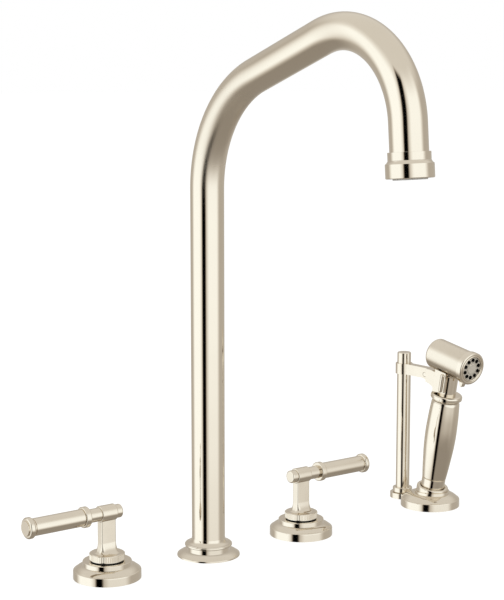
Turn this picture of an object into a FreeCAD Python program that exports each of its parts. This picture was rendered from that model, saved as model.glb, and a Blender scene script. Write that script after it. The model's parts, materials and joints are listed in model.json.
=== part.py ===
import FreeCAD, Part
import os
import re
import Sketcher
from FreeCAD import Placement, Rotation, Vector

# Four-hole kitchen faucet: bent gooseneck spout, two lever valves and a hand sprayer that leans
# in a cup beside its holder post. Millimetres. The origin is the spout's axis at deck level,
# +Z is up, the spout reaches towards -Y and the handles stand along X.

doc = FreeCAD.newDocument("deck_faucet")
sheet = doc.addObject("Spreadsheet::Sheet", "Sizes")

sizes = {
    # Plan of the four deck holes and the post
    "handle_offset": 101.6,
    "spray_offset": 259.7,
    "post_offset": 38.0,
    "deck_thickness": 25.0,
    # Gaps: turning fit, push fit, screwed fit, and flat faces that slide
    "run_gap": 0.06,
    "fit_gap": 0.05,
    "thread_gap": 0.1,
    "face_gap": 0.05,
    # Shanks, gaskets, washers and nuts, alike at all four holes
    "shank_radius": 14.0,
    "shank_drop": 45.0,
    "gasket_inset": 4.0,
    "gasket_thickness": 1.5,
    "gasket_hole_gap": 0.3,
    "washer_radius": 24.0,
    "washer_thickness": 2.0,
    "nut_corner_radius": 22.0,
    "nut_height": 10.0,
    # Handle base: rim, dome and raised ring
    "base_radius": 27.6,
    "base_edge": 6.2,
    "base_round": 1.1,
    "ring_radius": 19.9,
    "ring_foot": 10.6,
    "ring_top": 14.3,
    "ring_round": 0.5,
    "base_seat": 9.0,
    # Valve body and cartridge under the handle
    "valve_tail": 21.0,
    "outlet_drop": 11.0,
    "outlet_radius": 7.5,
    "outlet_reach": 26.0,
    "outlet_bore": 4.5,
    "inlet_radius": 10.48,
    "inlet_length": 14.0,
    "inlet_bore": 5.0,
    "transfer_bore": 1.8,
    "transfer_offset": 7.2,
    "outlet_root": 8.6,
    "cartridge_radius": 9.3,
    "cartridge_depth": 22.0,
    "cartridge_step": 1.0,
    "cartridge_flange": 1.5,
    "cartridge_neck": 6.5,
    "bonnet_radius": 10.9,
    "bonnet_height": 6.0,
    "stem_radius": 4.0,
    "stem_depth": 4.7,
    # Handle hub: skirt, coin-edged disc, pillar with its flared foot, and cross barrel
    "skirt_radius": 12.6,
    "skirt_wall": 1.2,
    "skirt_gap": 0.4,
    "skirt_drop": 4.5,
    "hub_gap": 1.4,
    "hub_radius": 14.1,
    "hub_round": 0.4,
    "hub_edge": 5.1,
    "hub_shoulder": 1.0,
    "boss_radius": 7.5,
    "stem_rise": 1.5,
    "pillar_width": 13.4,
    "pillar_depth": 7.4,
    "pillar_round": 1.0,
    "pillar_flare": 9.0,
    "pillar_foot": 10.8,
    "pillar_height": 23.5,
    "barrel_radius": 6.7,
    "barrel_reach": 7.2,
    "barrel_round": 0.8,
    "set_screw_radius": 2.0,
    "set_screw_sink": 1.2,
    # Lever: rod through the barrel, collar, grip and end cap, from the pillar's axis outwards
    "rod_radius": 5.55,
    "rod_stub": 12.9,
    "rod_round": 1.2,
    "collar_start": 18.4,
    "collar_width": 4.9,
    "collar_radius": 8.5,
    "collar_round": 0.9,
    "tenon_radius": 4.0,
    "tenon_length": 34.0,
    "grip_radius": 7.05,
    "grip_length": 44.7,
    "grip_round": 0.5,
    "cap_spigot": 8.0,
    "cap_neck": 1.2,
    "cap_neck_radius": 6.5,
    "cap_radius": 8.6,
    "cap_width": 4.8,
    "cap_round": 1.6,
    "button_radius": 6.0,
    "button_height": 1.1,
    # Spout foot: deck flange, glide ring and the ring that turns with the tube
    "flange_radius": 26.5,
    "flange_edge": 1.5,
    "flange_round": 0.6,
    "flange_neck_radius": 17.8,
    "flange_neck_foot": 4.2,
    "flange_top": 8.0,
    "glide_radius": 17.4,
    "glide_thickness": 0.4,
    "foot_lip_radius": 20.0,
    "foot_lip_height": 2.0,
    "foot_lip_round": 0.7,
    "foot_cove_radius": 19.2,
    "foot_cove_height": 4.7,
    "foot_floor": 1.0,
    # Spout tube: centre line and wall
    "tube_radius": 14.05,
    "tube_wall": 1.4,
    "spout_rise": 310.0,
    "first_bend_radius": 98.2,
    "first_bend_angle": 70.5,
    "slope_run": 84.1,
    "second_bend_radius": 70.7,
    "second_bend_angle": 105.0,
    "tail_run": 20.2,
    # Journal that the spout turns on, with its two seal rings
    "journal_radius": 10.0,
    "journal_depth": 20.0,
    "journal_bore": 6.0,
    "journal_plug": 16.0,
    "seal_wire": 1.2,
    "seal_groove_half": 1.45,
    "seal_first_depth": 5.0,
    "seal_second_depth": 14.0,
    "shank_top_gap": 0.4,
    "shank_bore_depth": 22.0,
    # Outlet: collar, shell, flow core and washer, from the tube's end outwards
    "outlet_collar_radius": 15.5,
    "outlet_collar_width": 5.8,
    "outlet_socket": 5.0,
    "outlet_thread_radius": 13.5,
    "outlet_thread_length": 6.0,
    "outlet_way": 11.0,
    "shell_cone": 2.4,
    "shell_radius": 17.5,
    "shell_length": 12.8,
    "shell_round": 0.8,
    "shell_lip": 1.5,
    "core_radius": 12.5,
    "core_proud": 1.0,
    "core_hole_radius": 1.1,
    "core_hole_circle": 8.0,
    "core_hole_count": 10,
    "core_washer": 1.0,
    # Tee, diverter piston and sprayer hose nipple under the spout
    "tee_radius": 12.0,
    "tee_length": 40.0,
    "tee_spigot_radius": 8.9,
    "tee_spigot": 10.0,
    "tee_bore": 8.0,
    "tee_roof": 5.0,
    "tee_branch_root": 9.5,
    "piston_drop": 17.0,
    "piston_height": 6.0,
    "piston_groove": 1.0,
    "diverter_wire": 0.6,
    "diverter_turns": 4.0,
    "diverter_coil_radius": 6.0,
    "hex_radius": 12.5,
    "hex_height": 5.0,
    "nipple_radius": 7.0,
    "nipple_length": 14.0,
    "nipple_bore": 4.0,
    # Sprayer base with its ear and leaning cup
    "spray_base_radius": 27.5,
    "spray_base_edge": 6.4,
    "spray_base_round": 0.9,
    "spray_cone_radius": 15.9,
    "spray_cone_top": 12.6,
    "spray_boss_top": 14.6,
    "spray_seat": 6.5,
    "ear_radius": 11.8,
    "ear_waist": 9.0,
    "ear_height": 5.0,
    "ear_round": 0.8,
    "hose_way": 9.0,
    "hose_relief": 0.8,
    "lean_angle": 10.5,
    "lean_root": 1.0,
    "cup_radius": 14.7,
    "cup_inner_radius": 11.75,
    "cup_foot": 9.0,
    "cup_floor": 15.5,
    "cup_rim": 18.7,
    "cup_round": 1.4,
    "cup_boss_wall": 1.5,
    # Sprayer body, along its leaning axis
    "ferrule_radius": 11.0,
    "ferrule_top": 27.0,
    "ferrule_round": 0.6,
    "hose_thread_radius": 6.0,
    "hose_thread_length": 10.0,
    "water_way": 4.0,
    "handgrip_foot_radius": 11.2,
    "handgrip_lower_run": 18.0,
    "handgrip_lower_radius": 13.1,
    "handgrip_middle_run": 20.0,
    "handgrip_middle_radius": 14.5,
    "handgrip_upper_run": 20.0,
    "handgrip_upper_radius": 14.3,
    "handgrip_top_run": 19.0,
    "handgrip_top_radius": 13.0,
    "handgrip_foot_turned": 10.6,
    "handgrip_top_turned": 12.2,
    "handgrip_turned_run": 5.0,
    "handgrip_twist": 7.2,
    "flare_width": 7.0,
    "flare_foot_radius": 12.35,
    "flare_rise": 2.8,
    "flare_round": 2.1,
    "flare_ring_radius": 14.6,
    "neck_radius": 8.3,
    "neck_length": 18.7,
    "neck_flare": 1.0,
    # Sprayer head, across the leaning axis
    "head_radius": 14.3,
    "head_back": 22.1,
    "head_back_round": 3.0,
    "head_front": 20.5,
    "head_thread_radius": 13.0,
    "head_thread_length": 2.6,
    "chamber_radius": 10.0,
    "chamber_start": 8.0,
    "face_ring_radius": 15.2,
    "face_ring_width": 6.0,
    "face_ring_round": 1.6,
    "face_opening_radius": 12.4,
    "face_lip": 1.2,
    "nozzle_boss_radius": 5.0,
    "nozzle_boss_rise": 0.9,
    "nozzle_hole_radius": 1.4,
    "nozzle_hole_circle": 8.3,
    "nozzle_hole_count": 10,
    # Trigger, its pin, the valve stem and its spring inside the head
    "trigger_pin_radius": 1.0,
    "trigger_pin_reach": 6.5,
    "trigger_drop": 11.7,
    "trigger_forward": 15.5,
    "trigger_thickness": 4.4,
    "trigger_side_gap": 0.35,
    "trigger_tip": 8.8,
    "tab_start": 1.2,
    "tab_end": 2.6,
    "tab_lip": 0.4,
    "tab_knee_run": 3.7,
    "tab_knee": 3.4,
    "crank_crown": 2.4,
    "crank_shoulder": 1.2,
    "crank_wall": 2.0,
    "crank_heel_run": 3.0,
    "crank_toe": 1.7,
    "slot_back": 5.0,
    "slot_front": 4.5,
    "valve_rod_radius": 2.0,
    "valve_rod_back": 14.0,
    "valve_disc_radius": 4.5,
    "valve_disc_back": 12.0,
    "valve_disc_width": 2.0,
    "valve_nose": 2.0,
    "valve_travel": 2.5,
    "valve_spring_radius": 3.7,
    "valve_spring_wire": 0.5,
    "valve_spring_turns": 4.0,
    # Holder post, arm and the bracket behind the neck
    "post_radius": 6.5,
    "post_foot_radius": 9.3,
    "post_foot_height": 5.0,
    "post_top": 141.5,
    "post_round": 1.2,
    "post_groove": 1.1,
    "post_screw_radius": 3.0,
    "post_screw_head": 5.0,
    "post_screw_length": 15.0,
    "arm_ring_radius": 8.0,
    "arm_rise": 10.9,
    "arm_height": 10.0,
    "arm_width": 8.0,
    "arm_heel": 2.5,
    "arm_heel_run": 12.7,
    "arm_screw_radius": 1.5,
    "rest_start": 2.0,
    "rest_width": 13.0,
    "rest_tongue": 3.2,
    "rest_tongue_length": 8.0,
    "rest_gap": 0.5,
    "rest_wing": 5.5,
    "rest_lift": 1.9,
    "rest_back": 4.0,
    "rest_crown": 5.9,
    "rest_head_gap": 1.2,
    "cheek_half": 11.6,
    "cheek_reach": 5.6,
    "cheek_return": 1.5,
    "cheek_depth": 8.3,
    "cheek_heel": 1.0,
    "cheek_toe": 3.7,
    "cheek_rise": 23.0,
    "rest_pin_radius": 2.2,
    "rest_pin_inset": 3.9,
    "rest_pin_rise": 3.6,
}
for row, (name, number) in enumerate(sizes.items(), start=1):
    sheet.set(f"A{row}", name)
    sheet.set(f"B{row}", str(number))
    sheet.setAlias(f"B{row}", name)
doc.recompute()


def bound(text):
    """A size expression in plain words, with each size name pointed at the sheet."""
    return re.sub(r"\b[a-z]+(?:_[a-z]+)+\b", r"Sizes.\g<0>", str(text))


def now(text):
    """What such an expression comes to with the present sizes."""
    return float(sheet.evalExpression(bound(text)))


def place(thing, base, turn=None, prefix="Placement"):
    """Bind a placement: base is three expressions, turn an axis and an angle expression."""
    if turn:
        axis, angle = turn
        setattr(thing, prefix, Placement(Vector(), Rotation(axis, now(angle))))
        thing.setExpression(f"{prefix}.Rotation.Angle", bound(angle))
    for letter, text in zip("xyz", base):
        if text != "0":
            thing.setExpression(f"{prefix}.Base.{letter}", bound(text))


def new_body(label, base=("0", "0", "0"), turn=None):
    body = doc.addObject("PartDesign::Body", label)
    body.Label = label
    place(body, base, turn)
    return body


def new_sketch(body, role, lift="0"):
    """A sketch on one of the body's own origin planes, lifted off it where asked."""
    plane = next(item for item in body.Origin.OriginFeatures if item.Role == role)
    sketch = body.newObject("Sketcher::SketchObject", f"{body.Label}_sketch")
    sketch.AttachmentSupport = (plane, [""])
    sketch.MapMode = "FlatFace"
    if lift != "0":
        sketch.AttachmentOffset = Placement(Vector(0, 0, now(lift)), Rotation())
        sketch.setExpression("AttachmentOffset.Base.z", bound(lift))
    return sketch


def fix(sketch, kind, text, *where):
    index = sketch.addConstraint(Sketcher.Constraint(kind, *where, now(text)))
    sketch.setExpression(f"Constraints[{index}]", bound(text))


def arc_radius(start, end, tangent):
    """Radius of an arc: plumb or level at an end, a shallow bow, or a size of its own."""
    across = f"(({end[0]})-({start[0]}))"
    up = f"(({end[1]})-({start[1]}))"
    chord_square = f"({across}^2+{up}^2)"
    if tangent == "plumb":
        return f"{chord_square}/(2*abs({across}))"
    if tangent == "level":
        return f"{chord_square}/(2*abs({up}))"
    if tangent == "shallow":
        return f"1.4*sqrt({chord_square})"
    return tangent


def draw_outline(sketch, points, closed=True):
    """Lines and arcs through bound points. A point may add "round" for an arc to it that
    bulges to the right of the way round, or "cove" for one that bulges to the left, and then
    how it bends. Outlines run anticlockwise."""
    spots = [Vector(now(point[0]), now(point[1]), 0) for point in points]
    first = 0 if closed else 1
    ends = []
    for index in range(first, len(points)):
        start, end = spots[index - 1], spots[index]
        shape = points[index][2:]
        if not shape:
            edge = sketch.addGeometry(Part.LineSegment(start, end))
            ends.append((edge, 1, 2))
            continue
        tangent = shape[1] if len(shape) > 1 else "plumb"
        text = arc_radius(points[index - 1], points[index], tangent)
        radius = now(text)
        chord = end - start
        left = Vector(-chord.y, chord.x, 0).normalize()
        side = 1 if shape[0] == "round" else -1
        depth = max(radius ** 2 - (chord.Length / 2) ** 2, 0) ** 0.5
        centre = (start + end) / 2 + left * side * depth
        circle = Part.Circle(centre, Vector(0, 0, 1), radius)
        begin, finish = (start, end) if side > 0 else (end, start)
        arc = Part.ArcOfCircle(circle, circle.parameter(begin), circle.parameter(finish))
        edge = sketch.addGeometry(arc)
        fix(sketch, "Radius", text, edge)
        ends.append((edge, 1, 2) if side > 0 else (edge, 2, 1))
    for before, after in zip(ends, ends[1:] + ends[:1] if closed else ends[1:]):
        join = (before[0], before[2], after[0], after[1])
        sketch.addConstraint(Sketcher.Constraint("Coincident", *join))
    for (edge, _, tip), point in zip(ends, points[first:]):
        fix(sketch, "DistanceX", point[0], -1, 1, edge, tip)
        fix(sketch, "DistanceY", point[1], -1, 1, edge, tip)
    if not closed:
        edge, tip, _ = ends[0]
        fix(sketch, "DistanceX", points[0][0], -1, 1, edge, tip)
        fix(sketch, "DistanceY", points[0][1], -1, 1, edge, tip)


def draw_circle(sketch, across, up, radius):
    middle = Vector(now(across), now(up), 0)
    edge = sketch.addGeometry(Part.Circle(middle, Vector(0, 0, 1), now(radius)))
    fix(sketch, "Radius", radius, edge)
    fix(sketch, "DistanceX", across, -1, 1, edge, 3)
    fix(sketch, "DistanceY", up, -1, 1, edge, 3)


def draw_polygon(sketch, across, up, corner_radius, corners, twist="0"):
    angles = [f"{index * 360 / corners}-{twist}" for index in range(corners)]
    draw_outline(sketch, [(f"{across}+({corner_radius})*cos({angle})",
                           f"{up}+({corner_radius})*sin({angle})") for angle in angles])


def revolve(body, profile):
    """Turn a profile of (radius, height) points about the body's own Z axis."""
    sketch = new_sketch(body, "XZ_Plane")
    draw_outline(sketch, profile)
    turned = body.newObject("PartDesign::Revolution", f"{body.Label}_turned")
    turned.Profile = sketch
    turned.ReferenceAxis = (sketch, ["V_Axis"])
    turned.Angle = 360
    return turned


def turned_piece(label, profile, base=("0", "0", "0"), turn=None):
    body = new_body(label, base, turn)
    revolve(body, profile)
    return body


def pad(body, sketch, length, middle=False):
    block = body.newObject("PartDesign::Pad", f"{body.Label}_pad")
    block.Profile = sketch
    block.Length = now(length)
    block.setExpression("Length", bound(length))
    block.Midplane = middle
    return block


def pocket(body, sketch, length, middle=False, back=False):
    hollow = body.newObject("PartDesign::Pocket", f"{body.Label}_pocket")
    hollow.Profile = sketch
    hollow.Length = now(length)
    hollow.setExpression("Length", bound(length))
    hollow.Midplane = middle
    hollow.Reversed = back
    return hollow


def rod(body, kind, radius, length, base=("0", "0", "0"), turn=None):
    """A cylinder added to a body or taken from it: kind is Additive or Subtractive."""
    cylinder = body.newObject(f"PartDesign::{kind}Cylinder", f"{body.Label}_rod")
    cylinder.setExpression("Radius", bound(radius))
    cylinder.setExpression("Height", bound(length))
    place(cylinder, base, turn)
    return cylinder


def polar(body, feature, count):
    """Repeat a feature evenly round the body's own Z axis."""
    axis = next(item for item in body.Origin.OriginFeatures if item.Role == "Z_Axis")
    pattern = body.newObject("PartDesign::PolarPattern", f"{body.Label}_pattern")
    pattern.Originals = [feature]
    pattern.Axis = (axis, [""])
    pattern.Angle = 360
    pattern.setExpression("Occurrences", bound(count))
    body.Tip = pattern


def coil(body, radius, wire, length, turns, foot):
    """An open compression spring about the body's own Z axis."""
    sketch = new_sketch(body, "XZ_Plane")
    draw_circle(sketch, radius, f"{foot}+({wire})", wire)
    spring = body.newObject("PartDesign::AdditiveHelix", f"{body.Label}_coil")
    spring.Profile = sketch
    spring.ReferenceAxis = (sketch, ["V_Axis"])
    spring.Mode = "height-turns-growth"
    spring.Growth = 0
    spring.setExpression("Height", bound(f"({length})-2*({wire})"))
    spring.setExpression("Turns", bound(turns))


ALONG_X = (Vector(0, 1, 0), "90")
AGAINST_X = (Vector(0, -1, 0), "90")
BACKWARDS = (Vector(-1, 0, 0), "90")

# Deck hardware of all four holes
# Each group is clamped to the deck by a soft gasket above it and a washer and a nut below it.
hole_places = [
    ("-handle_offset", "base_radius"),
    ("0", "flange_radius"),
    ("handle_offset", "base_radius"),
    ("spray_offset", "spray_base_radius"),
]
shank_hole = "(shank_radius+thread_gap)"
washer_top = "(-deck_thickness)"
nut_top = "(-deck_thickness-washer_thickness)"
shank_end = "(-shank_drop)"

base_gaskets = new_body("base_gaskets")
ring_sketch = new_sketch(base_gaskets, "XY_Plane")
for across, rim in hole_places:
    draw_circle(ring_sketch, across, "0", f"{rim}-gasket_inset-fit_gap")
    draw_circle(ring_sketch, across, "0", "shank_radius+gasket_hole_gap")
pad(base_gaskets, ring_sketch, "gasket_thickness")

clamp_washers = new_body("clamp_washers", ("0", "0", f"{washer_top}-washer_thickness"))
ring_sketch = new_sketch(clamp_washers, "XY_Plane")
for across, rim in hole_places:
    draw_circle(ring_sketch, across, "0", "washer_radius")
    draw_circle(ring_sketch, across, "0", "shank_radius+gasket_hole_gap")
pad(clamp_washers, ring_sketch, "washer_thickness")

mounting_nuts = new_body("mounting_nuts", ("0", "0", f"{nut_top}-nut_height"))
ring_sketch = new_sketch(mounting_nuts, "XY_Plane")
for across, rim in hole_places:
    draw_polygon(ring_sketch, across, "0", "nut_corner_radius", 6)
    draw_circle(ring_sketch, across, "0", shank_hole)
pad(mounting_nuts, ring_sketch, "nut_height")

# Heights in a handle group
hub_foot = "(ring_top+hub_gap)"
hub_edge_top = f"({hub_foot}+hub_edge)"
pillar_start = f"({hub_edge_top}+pillar_flare)"
lever_height = f"({pillar_start}+pillar_height)"
skirt_foot = f"({hub_foot}-skirt_drop)"
stem_hole_top = f"({hub_edge_top}+stem_rise)"
cartridge_bore = "(cartridge_radius+fit_gap)"
bonnet_bore = "(bonnet_radius+thread_gap)"
bonnet_foot = "(cartridge_step+cartridge_flange)"
guide_bore = "(stem_radius+run_gap)"
side_outlet_height = "(-shank_drop-outlet_drop)"
inlet_top = "(-shank_drop-valve_tail)"
screw_height = f"({hub_foot}+hub_edge/2)"

# Distances along a lever from the pillar's axis
collar_end = "(collar_start+collar_width)"
grip_end = f"({collar_end}+grip_length)"
cap_start = f"({grip_end}+cap_neck)"
cap_end = f"({cap_start}+cap_width)"


def draw_pillar(sketch, spread):
    """The pillar's rounded outline. A spread of 1 widens it to the nearly round foot."""
    wide = f"(pillar_width/2+(pillar_foot-pillar_width/2)*{spread})"
    deep = f"(pillar_depth/2+(pillar_foot-pillar_depth/2)*{spread})"
    corner = f"(pillar_round+(pillar_foot-3*pillar_round/2)*{spread})"
    draw_outline(sketch, [
        (f"{corner}-{wide}", f"-{deep}", "round"),
        (f"{wide}-{corner}", f"-{deep}"),
        (wide, f"{corner}-{deep}", "round"),
        (wide, f"{deep}-{corner}"),
        (f"{wide}-{corner}", deep, "round"),
        (f"{corner}-{wide}", deep),
        (f"-{wide}", f"{deep}-{corner}", "round"),
        (f"-{wide}", f"{corner}-{deep}"),
    ])


def make_handle(side, sign, outward):
    """One valve with its lever. The left lever points to -X and the right one to +X."""
    offset = f"{sign}handle_offset"
    stand = (offset, "0", "0")
    pivot = (offset, "0", lever_height)

    # The base is a turned escutcheon screwed down on the valve's shank over its gasket.
    turned_piece(f"{side}_handle_base", [
        ("base_radius-gasket_inset", "0"),
        ("base_radius", "0"),
        ("base_radius", "base_edge"),
        ("base_radius-base_round", "base_edge+base_round", "round"),
        ("ring_radius", "ring_foot", "round", "shallow"),
        ("ring_radius", "ring_top-ring_round"),
        ("ring_radius-ring_round", "ring_top", "round"),
        ("skirt_radius+skirt_gap", "ring_top"),
        ("skirt_radius+skirt_gap", "base_seat"),
        (shank_hole, "base_seat"),
        (shank_hole, "gasket_thickness"),
        ("base_radius-gasket_inset", "gasket_thickness"),
    ], stand)

    # The valve body comes up from below: shank, cartridge bore, inlet spigot and side outlet.
    valve = turned_piece(f"{side}_valve_body", [
        ("inlet_bore", f"{inlet_top}-inlet_length"),
        ("inlet_radius", f"{inlet_top}-inlet_length"),
        ("inlet_radius", inlet_top),
        ("shank_radius", inlet_top),
        ("shank_radius", "base_seat"),
        (bonnet_bore, "base_seat"),
        (bonnet_bore, "cartridge_step"),
        (cartridge_bore, "cartridge_step"),
        (cartridge_bore, "-cartridge_depth"),
        ("inlet_bore", "-cartridge_depth"),
    ], stand)
    inward = AGAINST_X if outward is ALONG_X else ALONG_X
    flip = "-" if inward is AGAINST_X else ""
    start = f"{flip}outlet_root"
    rod(valve, "Additive", "outlet_radius", "outlet_reach-outlet_root",
        (start, "0", side_outlet_height), inward)
    rod(valve, "Subtractive", "outlet_bore", "outlet_reach",
        (start, "0", side_outlet_height), inward)
    rod(valve, "Subtractive", "transfer_bore", f"-cartridge_depth-({side_outlet_height})",
        (f"{flip}transfer_offset", "0", side_outlet_height))

    # The cartridge is a sealed ceramic-disc unit, held by its flange under the bonnet nut.
    turned_piece(f"{side}_cartridge", [
        ("0", "-cartridge_depth"),
        ("cartridge_radius", "-cartridge_depth"),
        ("cartridge_radius", "cartridge_step"),
        ("bonnet_radius", "cartridge_step"),
        ("bonnet_radius", bonnet_foot),
        ("cartridge_neck", bonnet_foot),
        ("cartridge_neck", "base_seat"),
        (guide_bore, "base_seat"),
        (guide_bore, "-stem_depth-fit_gap"),
        ("0", "-stem_depth-fit_gap"),
    ], stand)

    # The stem carries the hub and turns the discs.
    turned_piece(f"{side}_stem", [
        ("0", "-stem_depth"),
        ("stem_radius", "-stem_depth"),
        ("stem_radius", f"{stem_hole_top}-2*fit_gap"),
        ("0", f"{stem_hole_top}-2*fit_gap"),
    ], stand)

    # The hub is one casting: skirt in the ring, coin-edged disc, flared pillar, cross barrel.
    hub = turned_piece(f"{side}_hub", [
        ("0", skirt_foot),
        ("boss_radius", skirt_foot),
        ("boss_radius", f"{hub_foot}-skirt_wall"),
        ("skirt_radius-skirt_wall", f"{hub_foot}-skirt_wall"),
        ("skirt_radius-skirt_wall", skirt_foot),
        ("skirt_radius", skirt_foot),
        ("skirt_radius", hub_foot),
        ("hub_radius-hub_round", hub_foot),
        ("hub_radius", f"{hub_foot}+hub_round", "round"),
        ("hub_radius", f"{hub_edge_top}-hub_shoulder"),
        ("hub_radius-hub_shoulder", hub_edge_top, "round"),
        ("0", hub_edge_top),
    ], stand)
    flare_sections = []
    for turn in ("0", "22.5", "45", "67.5", "90"):
        flare = new_sketch(hub, "XY_Plane", f"{hub_edge_top}+pillar_flare*(1-cos({turn}))")
        draw_pillar(flare, f"(1-sin({turn}))")
        flare_sections.append(flare)
    flare_loft = hub.newObject("PartDesign::AdditiveLoft", f"{side}_pillar_flare")
    flare_loft.Profile = flare_sections[0]
    flare_loft.Sections = flare_sections[1:]
    pillar = new_sketch(hub, "XY_Plane", pillar_start)
    draw_pillar(pillar, "0")
    pad(hub, pillar, f"{lever_height}-{pillar_start}")
    barrel = new_sketch(hub, "XZ_Plane")
    draw_outline(barrel, [
        ("-barrel_reach", f"{lever_height}+barrel_radius-barrel_round", "round"),
        ("-barrel_reach", lever_height),
        ("barrel_reach", lever_height),
        ("barrel_reach", f"{lever_height}+barrel_radius-barrel_round"),
        ("barrel_reach-barrel_round", f"{lever_height}+barrel_radius", "round"),
        ("barrel_round-barrel_reach", f"{lever_height}+barrel_radius"),
    ])
    turned = hub.newObject("PartDesign::Revolution", f"{hub.Label}_barrel")
    turned.Profile = barrel
    turned.ReferenceAxis = (barrel, ["Edge3"])
    turned.Angle = 360
    rod(hub, "Subtractive", "rod_radius+fit_gap", "4*barrel_reach",
        ("-2*barrel_reach", "0", lever_height), ALONG_X)
    rod(hub, "Subtractive", "stem_radius+fit_gap", f"{stem_hole_top}-{skirt_foot}",
        ("0", "0", skirt_foot))
    rod(hub, "Subtractive", "set_screw_radius+fit_gap", "hub_radius",
        ("0", "0", screw_height), BACKWARDS)

    # The set screw at the hub's back holds the hub on the stem.
    turned_piece(f"{side}_set_screw", [
        ("0", "0"),
        ("set_screw_radius", "0"),
        ("set_screw_radius", "hub_radius-set_screw_sink-stem_radius-fit_gap"),
        ("set_screw_radius/2", "hub_radius-set_screw_sink-stem_radius-fit_gap"),
        ("set_screw_radius/2", "(hub_radius-set_screw_sink-stem_radius)/2"),
        ("0", "(hub_radius-set_screw_sink-stem_radius)/2"),
    ], (offset, "stem_radius+fit_gap", screw_height), BACKWARDS)

    # The lever rod passes through the barrel. Its stub shows on the far side.
    turned_piece(f"{side}_lever_rod", [
        ("0", "-rod_stub"),
        ("rod_radius-rod_round", "-rod_stub"),
        ("rod_radius", "rod_round-rod_stub", "round"),
        ("rod_radius", collar_end),
        ("tenon_radius", collar_end),
        ("tenon_radius", f"{collar_end}+tenon_length"),
        ("0", f"{collar_end}+tenon_length"),
    ], pivot, outward)

    turned_piece(f"{side}_lever_collar", [
        ("rod_radius+fit_gap", "collar_start"),
        ("collar_radius-collar_round", "collar_start"),
        ("collar_radius", "collar_start+collar_round", "round"),
        ("collar_radius", f"{collar_end}-collar_round"),
        ("collar_radius-collar_round", collar_end, "round"),
        ("rod_radius+fit_gap", collar_end),
    ], pivot, outward)

    turned_piece(f"{side}_grip", [
        ("tenon_radius+fit_gap", collar_end),
        ("grip_radius-grip_round", collar_end),
        ("grip_radius", f"{collar_end}+grip_round", "round"),
        ("grip_radius", f"{grip_end}-grip_round"),
        ("grip_radius-grip_round", grip_end, "round"),
        ("tenon_radius+fit_gap", grip_end),
    ], pivot, outward)

    # The end cap screws into the grip: spigot, short neck, rounded flange and flat button.
    turned_piece(f"{side}_end_cap", [
        ("0", f"{grip_end}-cap_spigot"),
        ("tenon_radius", f"{grip_end}-cap_spigot"),
        ("tenon_radius", grip_end),
        ("cap_neck_radius", grip_end),
        ("cap_neck_radius", cap_start),
        ("cap_radius-cap_round", cap_start),
        ("cap_radius", f"{cap_start}+cap_round", "round"),
        ("cap_radius", f"{cap_end}-cap_round"),
        ("cap_radius-cap_round", cap_end, "round"),
        ("button_radius", cap_end),
        ("button_radius", f"{cap_end}+button_height"),
        ("0", f"{cap_end}+button_height"),
    ], pivot, outward)


# The two handle groups
make_handle("left", "-", AGAINST_X)
make_handle("right", "", ALONG_X)

bonnet_nuts = new_body("bonnet_nuts", ("0", "0", bonnet_foot))
ring_sketch = new_sketch(bonnet_nuts, "XY_Plane")
for across in ("-handle_offset", "handle_offset"):
    draw_circle(ring_sketch, across, "0", "bonnet_radius")
    draw_circle(ring_sketch, across, "0", "cartridge_neck+thread_gap")
pad(bonnet_nuts, ring_sketch, "bonnet_height")

# Heights at the spout's foot
glide_top = "(flange_top+glide_thickness)"
foot_bottom = f"({glide_top}+face_gap)"
lip_top = f"({foot_bottom}+foot_lip_height)"
cove_foot = f"({lip_top}+foot_lip_round/2)"
cove_top = f"({cove_foot}+foot_cove_height)"
tube_foot = f"({foot_bottom}+foot_floor)"
journal_hole = "(journal_radius+run_gap)"

# The spout's deck flange screws down on the spout shank.
turned_piece("spout_flange", [
    ("flange_radius-gasket_inset", "0"),
    ("flange_radius", "0"),
    ("flange_radius", "flange_edge-flange_round"),
    ("flange_radius-flange_round", "flange_edge", "round"),
    ("flange_neck_radius", "flange_neck_foot", "round", "shallow"),
    ("flange_neck_radius", "flange_top"),
    (shank_hole, "flange_top"),
    (shank_hole, "gasket_thickness"),
    ("flange_radius-gasket_inset", "gasket_thickness"),
])

# The shank is bored for the spout's journal and threaded below for the tee.
turned_piece("spout_shank", [
    ("tee_spigot_radius+thread_gap", shank_end),
    ("shank_radius", shank_end),
    ("shank_radius", "flange_top-shank_top_gap"),
    (journal_hole, "flange_top-shank_top_gap"),
    (journal_hole, "-shank_bore_depth"),
    ("tee_spigot_radius+thread_gap", "-shank_bore_depth"),
])

turned_piece("spout_glide_ring", [
    ("shank_radius+gasket_hole_gap", "flange_top"),
    ("glide_radius", "flange_top"),
    ("glide_radius", glide_top),
    ("shank_radius+gasket_hole_gap", glide_top),
])

# The foot ring turns with the tube: a lip over the flange's neck and a cove up to the tube.
turned_piece("spout_foot_ring", [
    ("journal_radius+fit_gap", foot_bottom),
    ("foot_lip_radius-foot_lip_round", foot_bottom),
    ("foot_lip_radius", f"{foot_bottom}+foot_lip_round", "round"),
    ("foot_lip_radius", f"{lip_top}-foot_lip_round"),
    ("foot_lip_radius-foot_lip_round", lip_top, "round"),
    ("foot_cove_radius", cove_foot),
    ("tube_radius+fit_gap", cove_top, "cove"),
    ("tube_radius+fit_gap", tube_foot),
    ("journal_radius+fit_gap", tube_foot),
])

# The journal is pressed into the tube and turns in the shank on two seal rings.
seal_circle = f"({journal_hole}-face_gap-seal_wire)"
seal_floor = f"({seal_circle}-seal_wire)"


def seal_groove(depth):
    return [
        ("journal_radius", f"-{depth}-seal_groove_half"),
        (seal_floor, f"-{depth}-seal_groove_half"),
        (seal_floor, f"seal_groove_half-{depth}"),
        ("journal_radius", f"seal_groove_half-{depth}"),
    ]


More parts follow.
